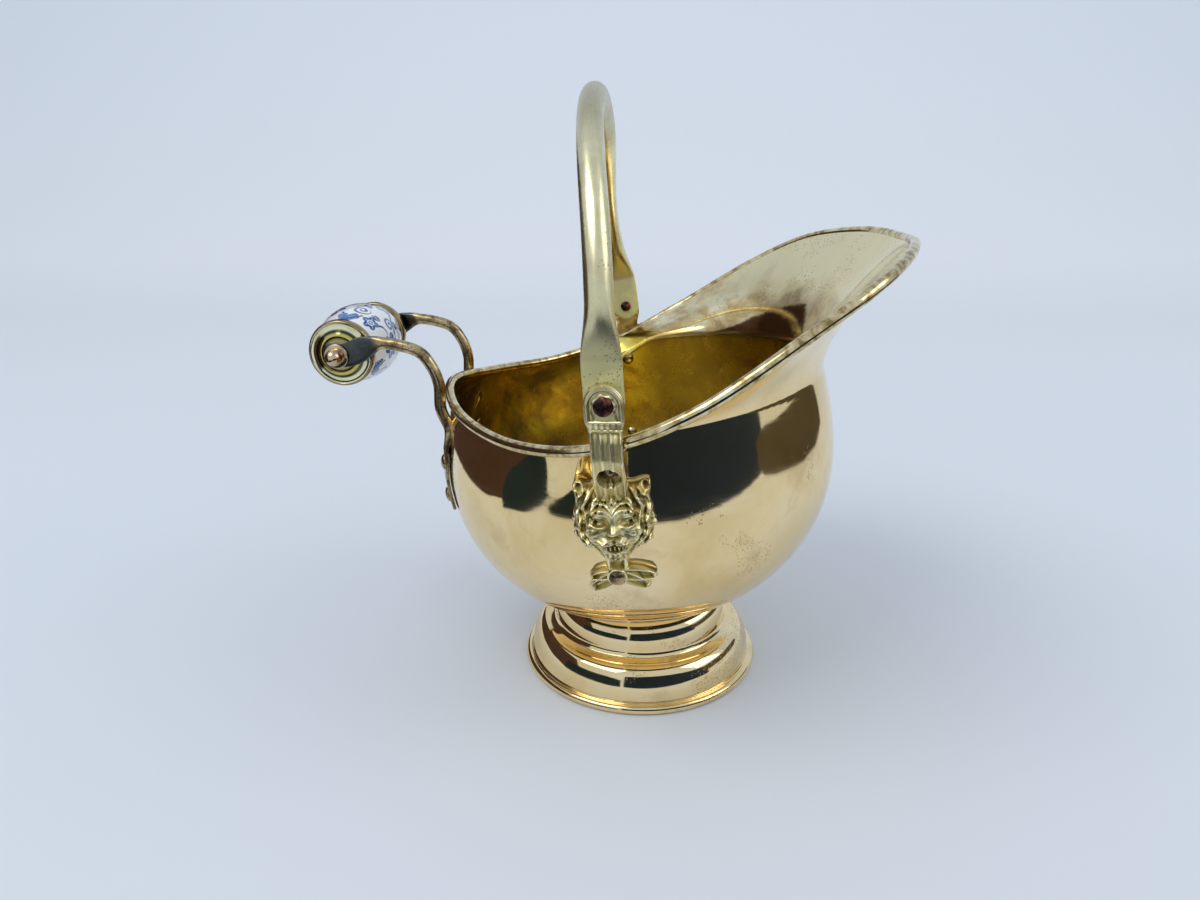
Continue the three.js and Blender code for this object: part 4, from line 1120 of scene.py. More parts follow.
def face_lines(side, y):
    """Narrow ridges: lids, the brow's wrinkles, lips and the crease of each cheek."""
    form = 0.9 * ridge(y - 4.6 + 0.16 * (side - 4.8) ** 2, 0.5) * ridge(side - 5, 2.6)
    form += 0.8 * ridge(y - 0.6 - 0.12 * (side - 5) ** 2, 0.5) * ridge(side - 5.2, 2.4)
    for step in (0, 1.7, 3.3):
        arc = y - (7.6 + step - 0.17 * (side - 4.2) ** 2)
        wrinkle = ridge(arc, 0.5) - 0.5 * ridge(arc - 0.85, 0.3)
        form += (1.15 - 0.15 * step) * wrinkle * ridge(side - 4.4, 2.9)
    form += 0.9 * ridge(y + 5.6 - 0.045 * side**2, 0.5) * ridge(side - 3.4, 3.4)
    form += 0.7 * ridge(y + 3.6 + 0.28 * side, 0.4) * ridge(side - 5.2, 2.2)
    return form + 0.8 * ridge(y + 9.8 - 0.03 * side**2, 0.6) * ridge(side, 3.4)


def waves_of(distance, length):
    return np.cos(2 * math.pi * distance / length)


def mane(side, y):
    """Locks that flow down round the face."""
    around = smooth(np.hypot(side / 8.6, (y + 1.5) / 10.8), 0.86, 1.1)
    flow = side + 0.026 * (y - 3) ** 2 - 0.12 * y + 0.55 * np.sin(0.6 * y)
    fine = 0.22 * np.cos(2 * math.pi * flow / 1.2 + 0.6 * y)
    slanting = 0.55 * np.cos(1.15 * y + 1.5 * side)
    return around * (0.95 * waves_of(flow, 3.1) + fine + slanting)


def mask_relief(x, y):
    side = np.abs(x)
    form = sum(size * bump(side, y, *where) for size, *where in FACE_BUMPS)
    form += face_lines(side, y) + mane(side, y)
    teeth = smooth(3.2 - side, 0, 0.4) * smooth(0.95 - np.abs(y + 7.7), 0, 0.3)
    form += 2.4 * teeth * (0.6 + 0.4 * waves_of(x, 1.5))
    form += 0.5 * ridge(y + 12.4, 2.4) * waves_of(x, 1.8)  # beard
    ear_ring = np.hypot(side - 11.4, y - 14.4)
    form += 2.0 * ridge(ear_ring - 2.2, 0.8) - 2.2 * ridge(ear_ring, 1.2)
    brow = smooth(y, 9.5, 12) * smooth(6.4 - side, 0, 1.5)
    return form + brow * 0.7 * waves_of(x, 2.6)


print("bumps of the face:", len(FACE_BUMPS))

# %% [markdown]
# The relief fades out at the outline, so that the border stays clean, and a dome under it lifts
# the nose above the cheeks. Front and back are rings of one grid: the front rings run out from the
# nose, the back rings run in again along the bowl's wall.

# %% Mask meshes
MASK_RINGS, BACK_RINGS, MASK_DIRECTIONS = 96, 24, 240
OFF_BOWL = 0.05  # castings clear the bowl's wall by this much
mask_turn = np.linspace(0, 2 * math.pi, MASK_DIRECTIONS, endpoint=False)
share = np.linspace(0, 1, MASK_RINGS)[:, None] ** 0.9
reach = mask_reach(mask_turn)
mask_x, mask_y = share * reach * np.cos(mask_turn), share * reach * np.sin(mask_turn)
dome = 2 + 3.4 * (1 - 0.4 * share**8) + 5.4 * (1 - share**2.4)
lift = dome + mask_relief(mask_x, mask_y) * (1 - share**14)
lift = np.where(share > 0.985, lift - 0.5, lift)  # a last step down at the edge
back_share = np.linspace(1, 0, BACK_RINGS)[:, None]
back_x, back_y = back_share * reach * np.cos(mask_turn), back_share * reach * np.sin(mask_turn)
back_out = mount_wall(back_x, back_y + MASK_RISE) + OFF_BOWL
mask_all_x = np.vstack([mask_x, back_x])
mask_all_rise = np.vstack([mask_y, back_y]) + MASK_RISE
mask_all_out = np.vstack([GROUND + lift, back_out])
mask_faces = grid_faces(len(mask_all_x), MASK_DIRECTIONS)
MOUNT_SIDES = ((-1, "right"), (1, "left"))
for side, word in MOUNT_SIDES:
    grid = on_mount(mask_all_x, mask_all_rise, mask_all_out, side).reshape(-1, 3)
    mask = mesh_object(f"lion_mask_{word}", grid, mask_faces, cast)
    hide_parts(f"lion_mount_{word}")
print("mask faces:", len(mask.data.polygons))

# %% [markdown]
# ## Strap and ear
# Above the brow the casting runs on as a fluted strap. It steps out over the rolled bead, turns a
# little to follow the mouth, and ends in an arched ear with a sunk field for the bail's rivet. Its
# front and its back are two heights over the same outline, joined along their edges.

# %% Strap shape
rising = closed_spline(EDGE_STATIONS, HALF_EDGE)
rising_at = (rising[:, 2] - MOUNT_Z) / LEAN_COS
crossing = int(np.argmin(np.abs(rising[:, 0] - MOUNT_X + rising_at * LEAN_SIN)))
BEAD_RISE, BEAD_HALF = float(rising_at[crossing]), float(rising[crossing, 1])
step = rising[crossing + 1] - rising[crossing - 1]
BEAD_TWIST = math.atan2(step[1], step[0]) if step[0] > 0 else math.atan2(-step[1], -step[0])
EAR_TWIST, EAR_RADIUS, EAR_THICKNESS = math.radians(10), 6.7, 3.8
STRAP_INSIDE = SPAN + FLAT_THICKNESS / 2 + 0.3 + FLAT_WIDTH / 2 * math.tan(EAR_TWIST)
OVER_BEAD = BEAD_HALF + BEAD_RADIUS + 0.6
EAR_NECK = PIVOT_RISE - EAR_RADIUS
EAR_FACE = STRAP_INSIDE + EAR_THICKNESS
STRAP_START, FOREHEAD = 27.0, 41.0  # rises above the lower rivet, as all places on the strap
TOP = PIVOT_RISE + EAR_RADIUS
STRAP_HALF, STRAP_COLUMNS = 5.5, 64
print("strap crosses the bead at rise", round(BEAD_RISE, 1), "half width", round(BEAD_HALF, 1))

# %% [markdown]
# The outline is a half width for each height: straight sides, a slight swelling at the neck of the
# ear, then a half round. Columns stand closer together towards the sides, where the form turns.

# %% Strap outline
ear_rows = PIVOT_RISE + EAR_RADIUS * np.sin(np.linspace(0, math.pi / 2, 40))[1:]
rise_rows = np.concatenate([np.linspace(STRAP_START, PIVOT_RISE, 250), ear_rows])
half_width = np.interp(
    rise_rows,
    [STRAP_START, 30, EAR_NECK - 3, EAR_NECK + 2],
    [4.9, STRAP_HALF, STRAP_HALF, EAR_RADIUS],
)
above = rise_rows > PIVOT_RISE
half_width[above] = np.sqrt(
    np.maximum(0.02, EAR_RADIUS**2 - (rise_rows[above] - PIVOT_RISE) ** 2)
)
across_share = np.sin(np.linspace(-1, 1, STRAP_COLUMNS) * math.pi / 2)
across = half_width[:, None] * across_share
rise_grid = np.repeat(rise_rows[:, None], STRAP_COLUMNS, 1)
print("strap rows:", len(rise_rows), "columns:", STRAP_COLUMNS)

# %% [markdown]
# The front's height follows a course of straight pieces with softened corners: up from the brow,
# out over the bead and on to the ear's face. Flutes, the ear's sunk field and the round well of
# the brow rivet are then cut into it, and the back follows the bowl and steps over the bead.


# %% Strap front and back
def softened(rise, knots, values, width=1.2):
    """Straight pieces between knots, with their corners averaged away."""
    moves = np.linspace(-width, width, 7)
    return sum(np.interp(rise + move, knots, values) for move in moves) / len(moves)


front_course = [
    (STRAP_START, GROUND + 6),
    (30, GROUND + 8.2),
    (34, OVER_BEAD - 4.2),
    (BEAD_RISE - 4, OVER_BEAD + 3),
    (BEAD_RISE + 4, OVER_BEAD + 3),
    (EAR_NECK - 2, EAR_FACE - 0.8),
    (EAR_NECK, EAR_FACE),
    (TOP, EAR_FACE),
]
front = softened(rise_grid, *zip(*front_course))
back = np.interp(
    rise_grid,
    [STRAP_START, FOREHEAD, BEAD_RISE - 3.5, BEAD_RISE + 3, EAR_NECK, TOP],
    [GROUND, GROUND, OVER_BEAD, OVER_BEAD, STRAP_INSIDE, STRAP_INSIDE],
)
off_wall_back = np.maximum(back, mount_wall(across, rise_grid) + 0.1)
back = np.where(rise_grid < BEAD_RISE - 5, off_wall_back, back)
side_edge = np.abs(across_share)
front -= 0.9 * smooth(side_edge, 0.86, 1.0) ** 2
FLUTE_RADIUS, FLUTE_SPACING = 1.6, 3.4
flute_depth = 0
for middle in (-FLUTE_SPACING, 0, FLUTE_SPACING):
    near = np.abs(across - middle)
    hollow = np.sqrt(np.maximum(0, FLUTE_RADIUS**2 - near**2)) - FLUTE_RADIUS / 2
    flute_depth = flute_depth + np.where(near < 1.38, hollow, 0)
flute_ends = smooth(rise_grid, 27, 29) * smooth(EAR_NECK - 1.6 - rise_grid, 0, 1.0)
front -= flute_depth * flute_ends
small_flutes = smooth(rise_grid, EAR_NECK - 1.4, EAR_NECK - 1.0)
small_flutes = small_flutes * smooth(EAR_NECK + 1.2 - rise_grid, 0, 0.4)
front -= 0.45 * small_flutes * (0.5 + 0.5 * waves_of(across, 1.9))

# The ear's sunk field: a groove inside the rim, and a lower scalloped ground round the rivet.
from_pivot = rise_grid - PIVOT_RISE
arched = np.where(from_pivot > 0, np.hypot(across, from_pivot), np.abs(across))
field = smooth(5.2 - arched, 0, 0.25) * smooth(from_pivot + 5.1, 0, 0.25)
ground_turn = np.arctan2(from_pivot, across)
plateau = smooth(3.9 + 0.3 * np.cos(7 * ground_turn) - arched, 0, 0.35)
front -= field * (1.0 - 0.45 * plateau)

# The forehead rivet stands in a round well.
WELL_RADIUS, WELL_FLOOR = 4.1, 5.5
well = np.hypot(across, rise_grid - FOREHEAD)
front = np.where(well < WELL_RADIUS, mount_wall(across, rise_grid) + WELL_FLOOR, front)
front = np.maximum(front, back + 0.15)
back = np.where(across_share**2 > 0.9999, (front + back) / 2, back)
print("strap thickness:", (front - back).min().round(2), "to", (front - back).max().round(2), "mm")

# %% [markdown]
# A strap that stays square to the middle plane would cut into the mouth's edge, which runs
# outwards here. Shearing the section by a changing angle turns it without disturbing its outline.

# %% Strap meshes
# Between the brow and the ear the strap turns with the mouth's edge, then back to the ear.
arrival = smooth(rise_grid, FOREHEAD - 4, BEAD_RISE - 3)
release = smooth(rise_grid, BEAD_RISE + 3, EAR_NECK + 1)
shear = across * np.tan(arrival * (BEAD_TWIST + (EAR_TWIST - BEAD_TWIST) * release))
strap_out = np.concatenate([front + shear, (back + shear)[:, ::-1]], 1)
strap_across = np.concatenate([across, across[:, ::-1]], 1)
strap_rise = np.concatenate([rise_grid, rise_grid[:, ::-1]], 1)
for side, word in MOUNT_SIDES:
    points, faces = capped_tube(on_mount(strap_across, strap_rise, strap_out, side))
    strap = mesh_object(f"lion_strap_{word}", points, faces, cast)
print("strap faces:", len(strap.data.polygons))

# %% [markdown]
# ## The knotted ribbon
# Under the chin hangs a ribbon, tied at the lower rivet. Each loop is a leaf whose two borders
# stand up round a hollow, laid on the bowl's wall.


# %% Ribbon leaves
LEAF_HEIGHT = 3.6
# Each leaf as [length, width, bearing in degrees]: two loops a side, and the tie to the chin.
LEAVES = [(13.6, 7.2, -142), (10.8, 5.2, -168), (13.2, 6.6, -30), (14.2, 6.8, -5), (11, 9, 90)]


def leaf_grid(length, width, turn):
    """Front and back of one leaf, side by side: along it, up the mount and out from the middle."""
    s = np.linspace(0, 1, 60)[:, None]
    v = np.linspace(-1, 1, 36)[None]
    half = width / 2 * np.sin(math.pi * (0.16 + 0.80 * s)) ** 0.55
    border = np.exp(-(((np.abs(v) - 0.72) / 0.30) ** 2))
    tip = smooth(s, 0.80, 0.97)
    crown = np.sqrt(np.maximum(0.03, 1 - np.abs(v) ** 6))
    height = LEAF_HEIGHT * (0.22 + 0.78 * np.maximum(border, 0.8 * tip)) * crown
    height = height * (1 - 0.45 * smooth(s, 0.9, 1.0)) * (0.8 + 0.2 * smooth(s, 0, 0.25))
    along, sideways = length * s + 0 * v, half * v
    leaf_x = along * math.cos(turn) - sideways * math.sin(turn)
    leaf_y = along * math.sin(turn) + sideways * math.cos(turn)
    ground = mount_wall(leaf_x, leaf_y)
    return (
        np.concatenate([leaf_x, leaf_x[:, ::-1]], 1),
        np.concatenate([leaf_y, leaf_y[:, ::-1]], 1),
        np.concatenate([ground + 0.3 + height, ground[:, ::-1] + OFF_BOWL], 1),
    )


for side, word in MOUNT_SIDES:
    for number, (length, width, degrees) in enumerate(LEAVES):
        leaf_x, leaf_y, leaf_out = leaf_grid(length, width, math.radians(degrees))
        points, faces = capped_tube(on_mount(leaf_x, leaf_y, leaf_out, side))
        leaf = mesh_object(f"ribbon_{word}_{number}", points, faces, cast)
print("ribbon leaves:", len(LEAVES), "a side")

# %% [markdown]
# ## Rivets
# Every joint is riveted. Rivets repeat, so one Geometry Nodes tree makes them: a half ball is
# pressed into a button with a short upright rim, and set on guide points, each turned the way its
# point faces. Head width and rise are inputs; the closed tails inside use the same tree with other
# sizes.

# %% Rivet tree
rivet_tree, entry, leave = geometry_tree(
    "Rivet heads", [("Head radius", "NodeSocketFloat"), ("Rise", "NodeSocketFloat")]
)
ball = add_node(
    rivet_tree, "GeometryNodeMeshUVSphere", {"Segments": 36, "Rings": 20, "Radius": 1.0}
)
where = add_node(rivet_tree, "GeometryNodeInputPosition")
axes = add_node(rivet_tree, "ShaderNodeSeparateXYZ", {0: where.outputs[0]})
squared = math_node(
    rivet_tree,
    "ADD",
    math_node(rivet_tree, "MULTIPLY", axes.outputs[0], axes.outputs[0]),
    math_node(rivet_tree, "MULTIPLY", axes.outputs[1], axes.outputs[1]),
)
rounding = math_node(rivet_tree, "POWER", squared, 1.3, clamp=True)
dome = math_node(rivet_tree, "SUBTRACT", 1.0, rounding)
dome = math_node(rivet_tree, "MULTIPLY_ADD", dome, 0.7, 0.3)
on_top = math_node(rivet_tree, "GREATER_THAN", axes.outputs[2], -0.01)
upper_half = math_node(rivet_tree, "MULTIPLY", dome, on_top)
tall = math_node(rivet_tree, "MULTIPLY", upper_half, entry.outputs["Rise"])
wide_x = math_node(rivet_tree, "MULTIPLY", axes.outputs[0], entry.outputs["Head radius"])
wide_y = math_node(rivet_tree, "MULTIPLY", axes.outputs[1], entry.outputs["Head radius"])
pressed = add_node(rivet_tree, "ShaderNodeCombineXYZ", {0: wide_x, 1: wide_y, 2: tall})
button = add_node(
    rivet_tree, "GeometryNodeSetPosition", {0: ball.outputs[0], "Position": pressed.outputs[0]}
)
way = add_node(rivet_tree, "GeometryNodeInputNamedAttribute", data_type="FLOAT_VECTOR")
way.inputs["Name"].default_value = "facing"
turned_to = add_node(
    rivet_tree, "FunctionNodeAlignRotationToVector", {"Vector": way.outputs[0]}, axis="Z"
)
placed = add_node(
    rivet_tree,
    "GeometryNodeInstanceOnPoints",
    {"Points": entry.outputs[0], "Instance": button.outputs[0], "Rotation": turned_to.outputs[0]},
)
finish_tree(rivet_tree, placed.outputs[0], leave, aged)
copper_tree = rivet_tree.copy()
copper_tree.name = "Copper rivet heads"
for node in copper_tree.nodes:
    if node.bl_idname == "GeometryNodeSetMaterial":
        node.inputs["Material"].default_value = copper


print("rivet tree has", len(rivet_tree.nodes), "nodes")

# %% [markdown]
# Rivets come in mirrored pairs, each with a head outside and a closed tail inside the bowl. One
# function sets both pairs on guide points, so that every rivet on the object is asked for in a
# single line: where, which way, how wide and how long.


# %% Pairs of rivets
def mirrored(points):
    points = np.atleast_2d(points)
    return np.vstack([points, points * [1, -1, 1]])


def rivet_pair(name, tree, place, way_out, seat, head, rise, grip_length):
    """Heads on the outside and closed tails inside, for the right side and its mirror image.

    The heads stand seat off the wall, and the tails are grip_length further in.
    """
    heads = mirrored(place + way_out * seat)
    ways = mirrored(way_out)
    obj = grown(
        name + "_heads", tree, to_frame(heads), [],
        {"Head radius": head / 2000, "Rise": rise / 1000}, attributes={"facing": ways},
    )
    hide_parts(f"{name}_right", f"{name}_left")
    tails = mirrored(place + way_out * (seat - grip_length))
    obj = grown(
        name + "_tails", tree, to_frame(tails), [],
        {"Head radius": 0.4 * head / 1000, "Rise": 0.7 * rise / 1000}, attributes={"facing": -ways},
    )


print("rivets are set in pairs")

# %% [markdown]
# The castings' rivets pass through the brow and through the ribbon's knot into the bowl. Their
# spots are found on the wall, in the mount's own leaning line. The bail's rivets are copper and
# run level through the ear.


# %% Rivets of the castings
def mount_spot(rise):
    x, z = mount_xz(np.zeros(1), np.full(1, rise))
    return wall_along(np.stack([x, 0 * x, z], -1), np.array([0, -1.0, 0]))[0]


TAIL_GAP = 0.7  # from the sheet's inside to the middle of a closed tail
THROUGH_SHEET = SHEET + TAIL_GAP
UPPER_SEAT, LOWER_SEAT = 5.6, 4.3
upper, lower = mount_spot(FOREHEAD), mount_spot(0.0)
rivet_pair("mount_rivet_upper", rivet_tree, upper, facing(upper[None])[0],
           seat=UPPER_SEAT, head=7.2, rise=1.8, grip_length=UPPER_SEAT + THROUGH_SHEET)
rivet_pair("mount_rivet_lower", rivet_tree, lower, facing(lower[None])[0],
           seat=LOWER_SEAT, head=6.0, rise=1.8, grip_length=LOWER_SEAT + THROUGH_SHEET)
pivot_face = EAR_FACE - 1 + 3.3 * math.tan(EAR_TWIST)
pivot_place = np.array([PIVOT[0], -pivot_face, PIVOT[2]])
through_bail = pivot_face - SPAN + FLAT_THICKNESS / 2 + TAIL_GAP
rivet_pair("bail_rivet", copper_tree, pivot_place, np.array([0, -1.0, 0]),
           seat=0.1, head=6.6, rise=2.0, grip_length=through_bail)


# %% [markdown]
# Under each of these rivets the casting stands up as a turned boss, which fills the space between
# the bowl and the head.


# %% Bosses under the rivets
def aimed_points(points, place, way_out):
    """Points modelled upright, turned to face way_out and moved to their place."""
    turn = Vector((0, 0, 1)).rotation_difference(Vector(way_out)).to_matrix()
    return points @ np.array(turn).T + place


BOSS_COLUMNS = 48
MIRRORED = (("right", 1), ("left", -1))
for word, side in MIRRORED:
    for name, spot, radius, height in (
        ("knot", lower, 3.8, LOWER_SEAT), ("brow", upper, 4.2, WELL_FLOOR)
    ):
        boss = rounded([(0, height), (radius, height), (radius, 0.1), (0, 0.1)], 0.4, 4)
        points = aimed_points(lathe_points(boss, BOSS_COLUMNS), spot, facing(spot[None])[0])
        boss_faces = grid_faces(len(boss), BOSS_COLUMNS)
        piece = mesh_object(f"{name}_boss_{word}", points * [1, side, 1], boss_faces, cast)
print("rivet spots:", upper.round(1), lower.round(1))

# %% [markdown]
# ## The rear arms
# Each arm is one forged rod. Its foot is hammered into a plate that lies on the bowl behind, the
# rod runs up past the bead and bends back, and its end is flattened again, upright this time, for
# the cross rod. One superellipse section changes its two half sizes along the whole course.

# %% Arm course
ARM_Y, ROD_HALF = -27.4, 2.4
ARM_FOOT, PLATE_TOP, ARM_TOP = 84.5, 111.0, 124.0  # heights of the plate's ends and of the bead
PLATE_HALF_WIDTH, PLATE_HALF_THICK = 5.3, 0.7
EYE_HALF_THICK, EYE_HALF_HEIGHT = 0.9, 5.0


def rear_spot(height):
    """The bowl's wall behind, in the plane of the right arm."""
    axis_x = BOWL_SEAT[0] - (height - BOWL_SEAT[2]) * math.tan(BOWL_LEAN)
    start = np.array([[axis_x, ARM_Y, height]])
    return wall_along(start, np.array([-1.0, 0, 0]))[0]


beside = closed_spline(EDGE_STATIONS, np.linspace(0, 1, 721))
by_the_arm = np.abs(np.abs(beside[:, 1]) + ARM_Y) < ROD_HALF
beside = beside[by_the_arm & (beside[:, 0] < 0)]
ROD_X = float(beside[:, 0].min()) - BEAD_RADIUS - 0.3 - ROD_HALF
plate_heights = np.linspace(ARM_FOOT, PLATE_TOP, 12)
plate_line = np.array([rear_spot(h) + facing(rear_spot(h)[None])[0] * 1.0 for h in plate_heights])
plate_x = rear_spot(ARM_TOP)[0] - 1.0
rod_line = np.array(
    [
        (plate_x - 0.4, ARM_Y, ARM_TOP - 5),
        (ROD_X, ARM_Y, ARM_TOP + 4),
        (ROD_X, ARM_Y, GRIP_Z - 12),
        (ROD_X - 3, ARM_Y, GRIP_Z - 3.5),
        (ROD_X - 8.6, ARM_Y, GRIP_Z + 2.4),
        (GRIP_X + 20, ARM_Y, GRIP_Z + 5.2),
        (GRIP_X + 12, ARM_Y, GRIP_Z + 3.6),
        (GRIP_X + 5, ARM_Y, GRIP_Z + 0.6),
        (GRIP_X - 4.6, ARM_Y, GRIP_Z),
    ]
)
bend_top = rod_line[5]
course = spline(np.vstack([plate_line, rod_line]), 340)
print("arm rod at x =", round(ROD_X, 1), "mm")

# %% [markdown]
# The section's half sizes are blends of three: the flat plate on the bowl, the round rod and the
# upright eye. The plate is also turned to face the bowl's axis, and both ends are eased. The left
# arm is the right one mirrored.

# %% Arm sections and meshes
run = np.concatenate([[0], np.cumsum(np.linalg.norm(np.diff(course, axis=0), axis=1))])
plate_end = run[np.argmin(np.abs(course[:, 2] - 108) + 1000 * (course[:, 0] < -90))]
bend_end = run[np.argmin(np.linalg.norm(course - bend_top, axis=1))]
is_plate = 1 - smooth(run, plate_end - 3, plate_end + 15)
is_eye = smooth(run, bend_end - 1, bend_end + 12)
half_side = (
    ROD_HALF + (PLATE_HALF_WIDTH - ROD_HALF) * is_plate + (EYE_HALF_THICK - ROD_HALF) * is_eye
)
half_normal = (
    ROD_HALF + (PLATE_HALF_THICK - ROD_HALF) * is_plate + (EYE_HALF_HEIGHT - ROD_HALF) * is_eye
)
end_round = np.clip(np.minimum(run, run[-1] - run) / 0.9, 0.0, 1)
shrink = 0.82 + 0.18 * np.sqrt(1 - (1 - end_round) ** 2)
power = 2 + 5 * np.maximum(is_plate, is_eye)
arm_sections = np.array(
    [
        section_ring(wide * size, thick * size, corner, 44)
        for wide, thick, size, corner in zip(half_side, half_normal, shrink, power)
    ]
)
turned_by = math.atan2(-ARM_Y, -plate_x) * is_plate
arm_side = np.stack([np.sin(turned_by), -np.cos(turned_by), 0 * turned_by], 1)
arm_points, arm_faces = capped_tube(swept(course, arm_sections, arm_side))
for word, side in MIRRORED:
    arm = mesh_object(f"arm_{word}", arm_points * [1, side, 1], arm_faces, aged)
    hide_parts(f"handle_arm_{word}")
for name, height in (("arm_rivet_lower", 90.4), ("arm_rivet_upper", 104.9)):
    spot = rear_spot(height)
    rivet_pair(name, rivet_tree, spot, facing(spot[None])[0],
               seat=1.7, head=6.4, rise=1.4, grip_length=1.7 + THROUGH_SHEET)
print("arm is", round(float(run[-1])), "mm long")

# %% [markdown]
# ## The porcelain grip
# The grip is a porcelain barrel on a brass rod, painted under its glaze in cobalt blue. It is
# turned finely enough that every vertex can carry a share of blue, worked out by formulas.
# Flowers, curls, stems with leaves and small twigs are each one short function of a place on the
# unrolled barrel, in millimetres round it and along it.


# %% Brush strokes
def soft_inside(distance, soft=0.12):
    """1 where a distance to an outline is negative, 0 outside, with a soft border."""
    return smooth(-distance, -soft, soft)


def flower(u, v, at_u, at_v, radius, petals, phase):
    x, y = u - at_u, v - at_v
    r, turn = np.hypot(x, y), np.arctan2(y, x) + phase
    edge = radius * (0.66 + 0.34 * np.abs(np.cos(petals * turn / 2)))
    vein = soft_inside(np.abs(np.sin(petals * turn / 2)) * r - 0.30)
    vein = vein * soft_inside(r - edge * 0.78)
    ring = soft_inside(np.abs(r - 0.36 * radius) - 0.24)
    return np.clip(soft_inside(r - edge) * (1 - 0.9 * vein) * (1 - ring), 0, 1)


def leaf_mark(u, v, at_u, at_v, degrees, length, width):
    a = math.radians(degrees)
    along = (u - at_u) * math.cos(a) + (v - at_v) * math.sin(a)
    across_it = -(u - at_u) * math.sin(a) + (v - at_v) * math.cos(a)
    place = np.clip(along / length, 0, 1)
    half = width * np.sin(math.pi * place**0.8)
    body = soft_inside(np.abs(across_it) - half) * (along > 0) * (along < length)
    return body * (1 - 0.7 * soft_inside(np.abs(across_it) - 0.1))


def stem(u, v, start, end, rise, width=0.60):
    """A stem from start to end that bows to one side by rise."""
    (u0, v0), (u1, v1) = start, end
    length = math.hypot(u1 - u0, v1 - v0)
    along = ((u - u0) * (u1 - u0) + (v - v0) * (v1 - v0)) / length
    across_it = (-(u - u0) * (v1 - v0) + (v - v0) * (u1 - u0)) / length
    bow = rise * np.sin(math.pi * np.clip(along / length, 0, 1))
    return soft_inside(np.abs(across_it - bow) - width) * (along > 0) * (along < length)


def curl(u, v, at_u, at_v, radius, phase, way):
    r, turn = np.hypot(u - at_u, v - at_v), way * np.arctan2(v - at_v, u - at_u) + phase
    turn = np.mod(turn, 2 * math.pi) / (2 * math.pi)
    arms = [soft_inside(np.abs(r - radius * (turn + lap) / 1.6) - 0.62) for lap in (0, 1)]
    return np.maximum(*arms) * soft_inside(r - radius)


def twig(u, v, at_u, at_v, degrees, length):
    a = math.radians(degrees)
    tip = (at_u + length * math.cos(a), at_v + length * math.sin(a))
    marks = stem(u, v, (at_u, at_v), tip, 0.6, 0.50)
    for share_along in (0.26, 0.48, 0.70, 0.92):
        for swing in (44, -48):
            spot_u = at_u + share_along * length * math.cos(a)
            spot_v = at_v + share_along * length * math.sin(a)
            marks = np.maximum(marks, leaf_mark(u, v, spot_u, spot_v, degrees + swing, 3.4, 1.05))
    return marks


print("brush strokes ready")

# %% [markdown]
# One motif is laid out as a list of strokes and repeated round the barrel. Each motif is
# drawn three times, a period apart, so that strokes run on over its ends.


# %% Painted scroll
def motif(u, v):
    """All strokes of one motif; u runs from 0 to the period, v from end to end."""
    return [
        flower(u, v, 8.6, 5.6, 6.0, 6, 0.3),
        flower(u, v, 25.6, -8.6, 5.4, 5, 1.0),
        flower(u, v, 22.4, 12.6, 4.2, 5, 0.0),
        stem(u, v, (8.6, 0.8), (21.4, -8.0), 3.0),
        stem(u, v, (13.6, 7.4), (19.4, 11.2), -1.6),
        stem(u, v, (0.6, -8.2), (7.4, 1.2), -2.4),
        stem(u, v, (28.8, -5.6), (33.4, 3.4), 1.6),
        curl(u, v, 3.4, -12.0, 3.8, 0.4, 1),
        curl(u, v, 17.2, 1.6, 3.4, 2.0, -1),
        curl(u, v, 29.6, 6.6, 3.9, 1.0, 1),
        leaf_mark(u, v, 14.6, -5.4, 60, 5.4, 1.9),
        leaf_mark(u, v, 12.4, -2.6, -120, 6.0, 2.0),
        leaf_mark(u, v, 5.4, -3.6, 150, 5.2, 1.8),
        leaf_mark(u, v, 31.0, -1.8, 140, 5.0, 1.8),
        leaf_mark(u, v, 20.4, 6.4, 20, 4.8, 1.7),
        twig(u, v, 10.6, -6.8, -80, 9.6),
        twig(u, v, 27.2, 11.4, 40, 8.0),
        twig(u, v, 3.0, 10.6, 110, 7.4),
        twig(u, v, 19.6, -12.2, -60, 6.4),
    ]


def scroll(u, v, period):
    repeats = [motif(np.mod(u, period) + move, v) for move in (-period, 0, period)]
    return np.max([np.max(marks, axis=0) for marks in repeats], axis=0)


print("strokes in a motif:", len(motif(np.zeros(1), np.zeros(1))))

# %% [markdown]
# The barrel is a turned form with a soft belly and a bore for the rod. Its rows of vertices stand
# closer together towards the ends, where the belly curves most. The painted share is worked out
# before the mesh is cleaned up, so it is looked up again by each vertex's final place.

# %% Barrel mesh
HALF_GRIP, GRIP_RADIUS, GRIP_END = 22.7, 16.3, 11.8
BELLY = HALF_GRIP - 2.6 - 0.3  # the belly ends under the cups' rims
PAINT_ROUND, PAINT_START, PAINT_PERIOD = 102.0, 9.0, 34.0  # three motifs go round the barrel
BORE, CHAMFER, GRIP_COLUMNS = 2.4, 0.4, 360
belly_at = np.linspace(-1, 1, 181)
belly_at = np.sin(belly_at * math.pi / 2) * 0.25 + belly_at * 0.75
belly_radius = GRIP_END + (GRIP_RADIUS - GRIP_END) * np.cos(belly_at * math.pi / 2) ** 0.7
upper_end = np.array(
    [(GRIP_END, HALF_GRIP - CHAMFER), (GRIP_END - CHAMFER, HALF_GRIP), (BORE, HALF_GRIP)]
)
lower_end = upper_end[::-1] * [1, -1]
barrel = np.vstack([lower_end, np.stack([belly_radius, belly_at * BELLY], 1), upper_end])
barrel_points = lathe_points(barrel, GRIP_COLUMNS)
laid = np.array([[1, 0, 0], [0, 0, -1], [0, 1, 0]], float)
grip_place = np.array([GRIP_X, 0, GRIP_Z])
around_grip = np.mod(np.arctan2(barrel_points[:, 1], barrel_points[:, 0]), 2 * math.pi)
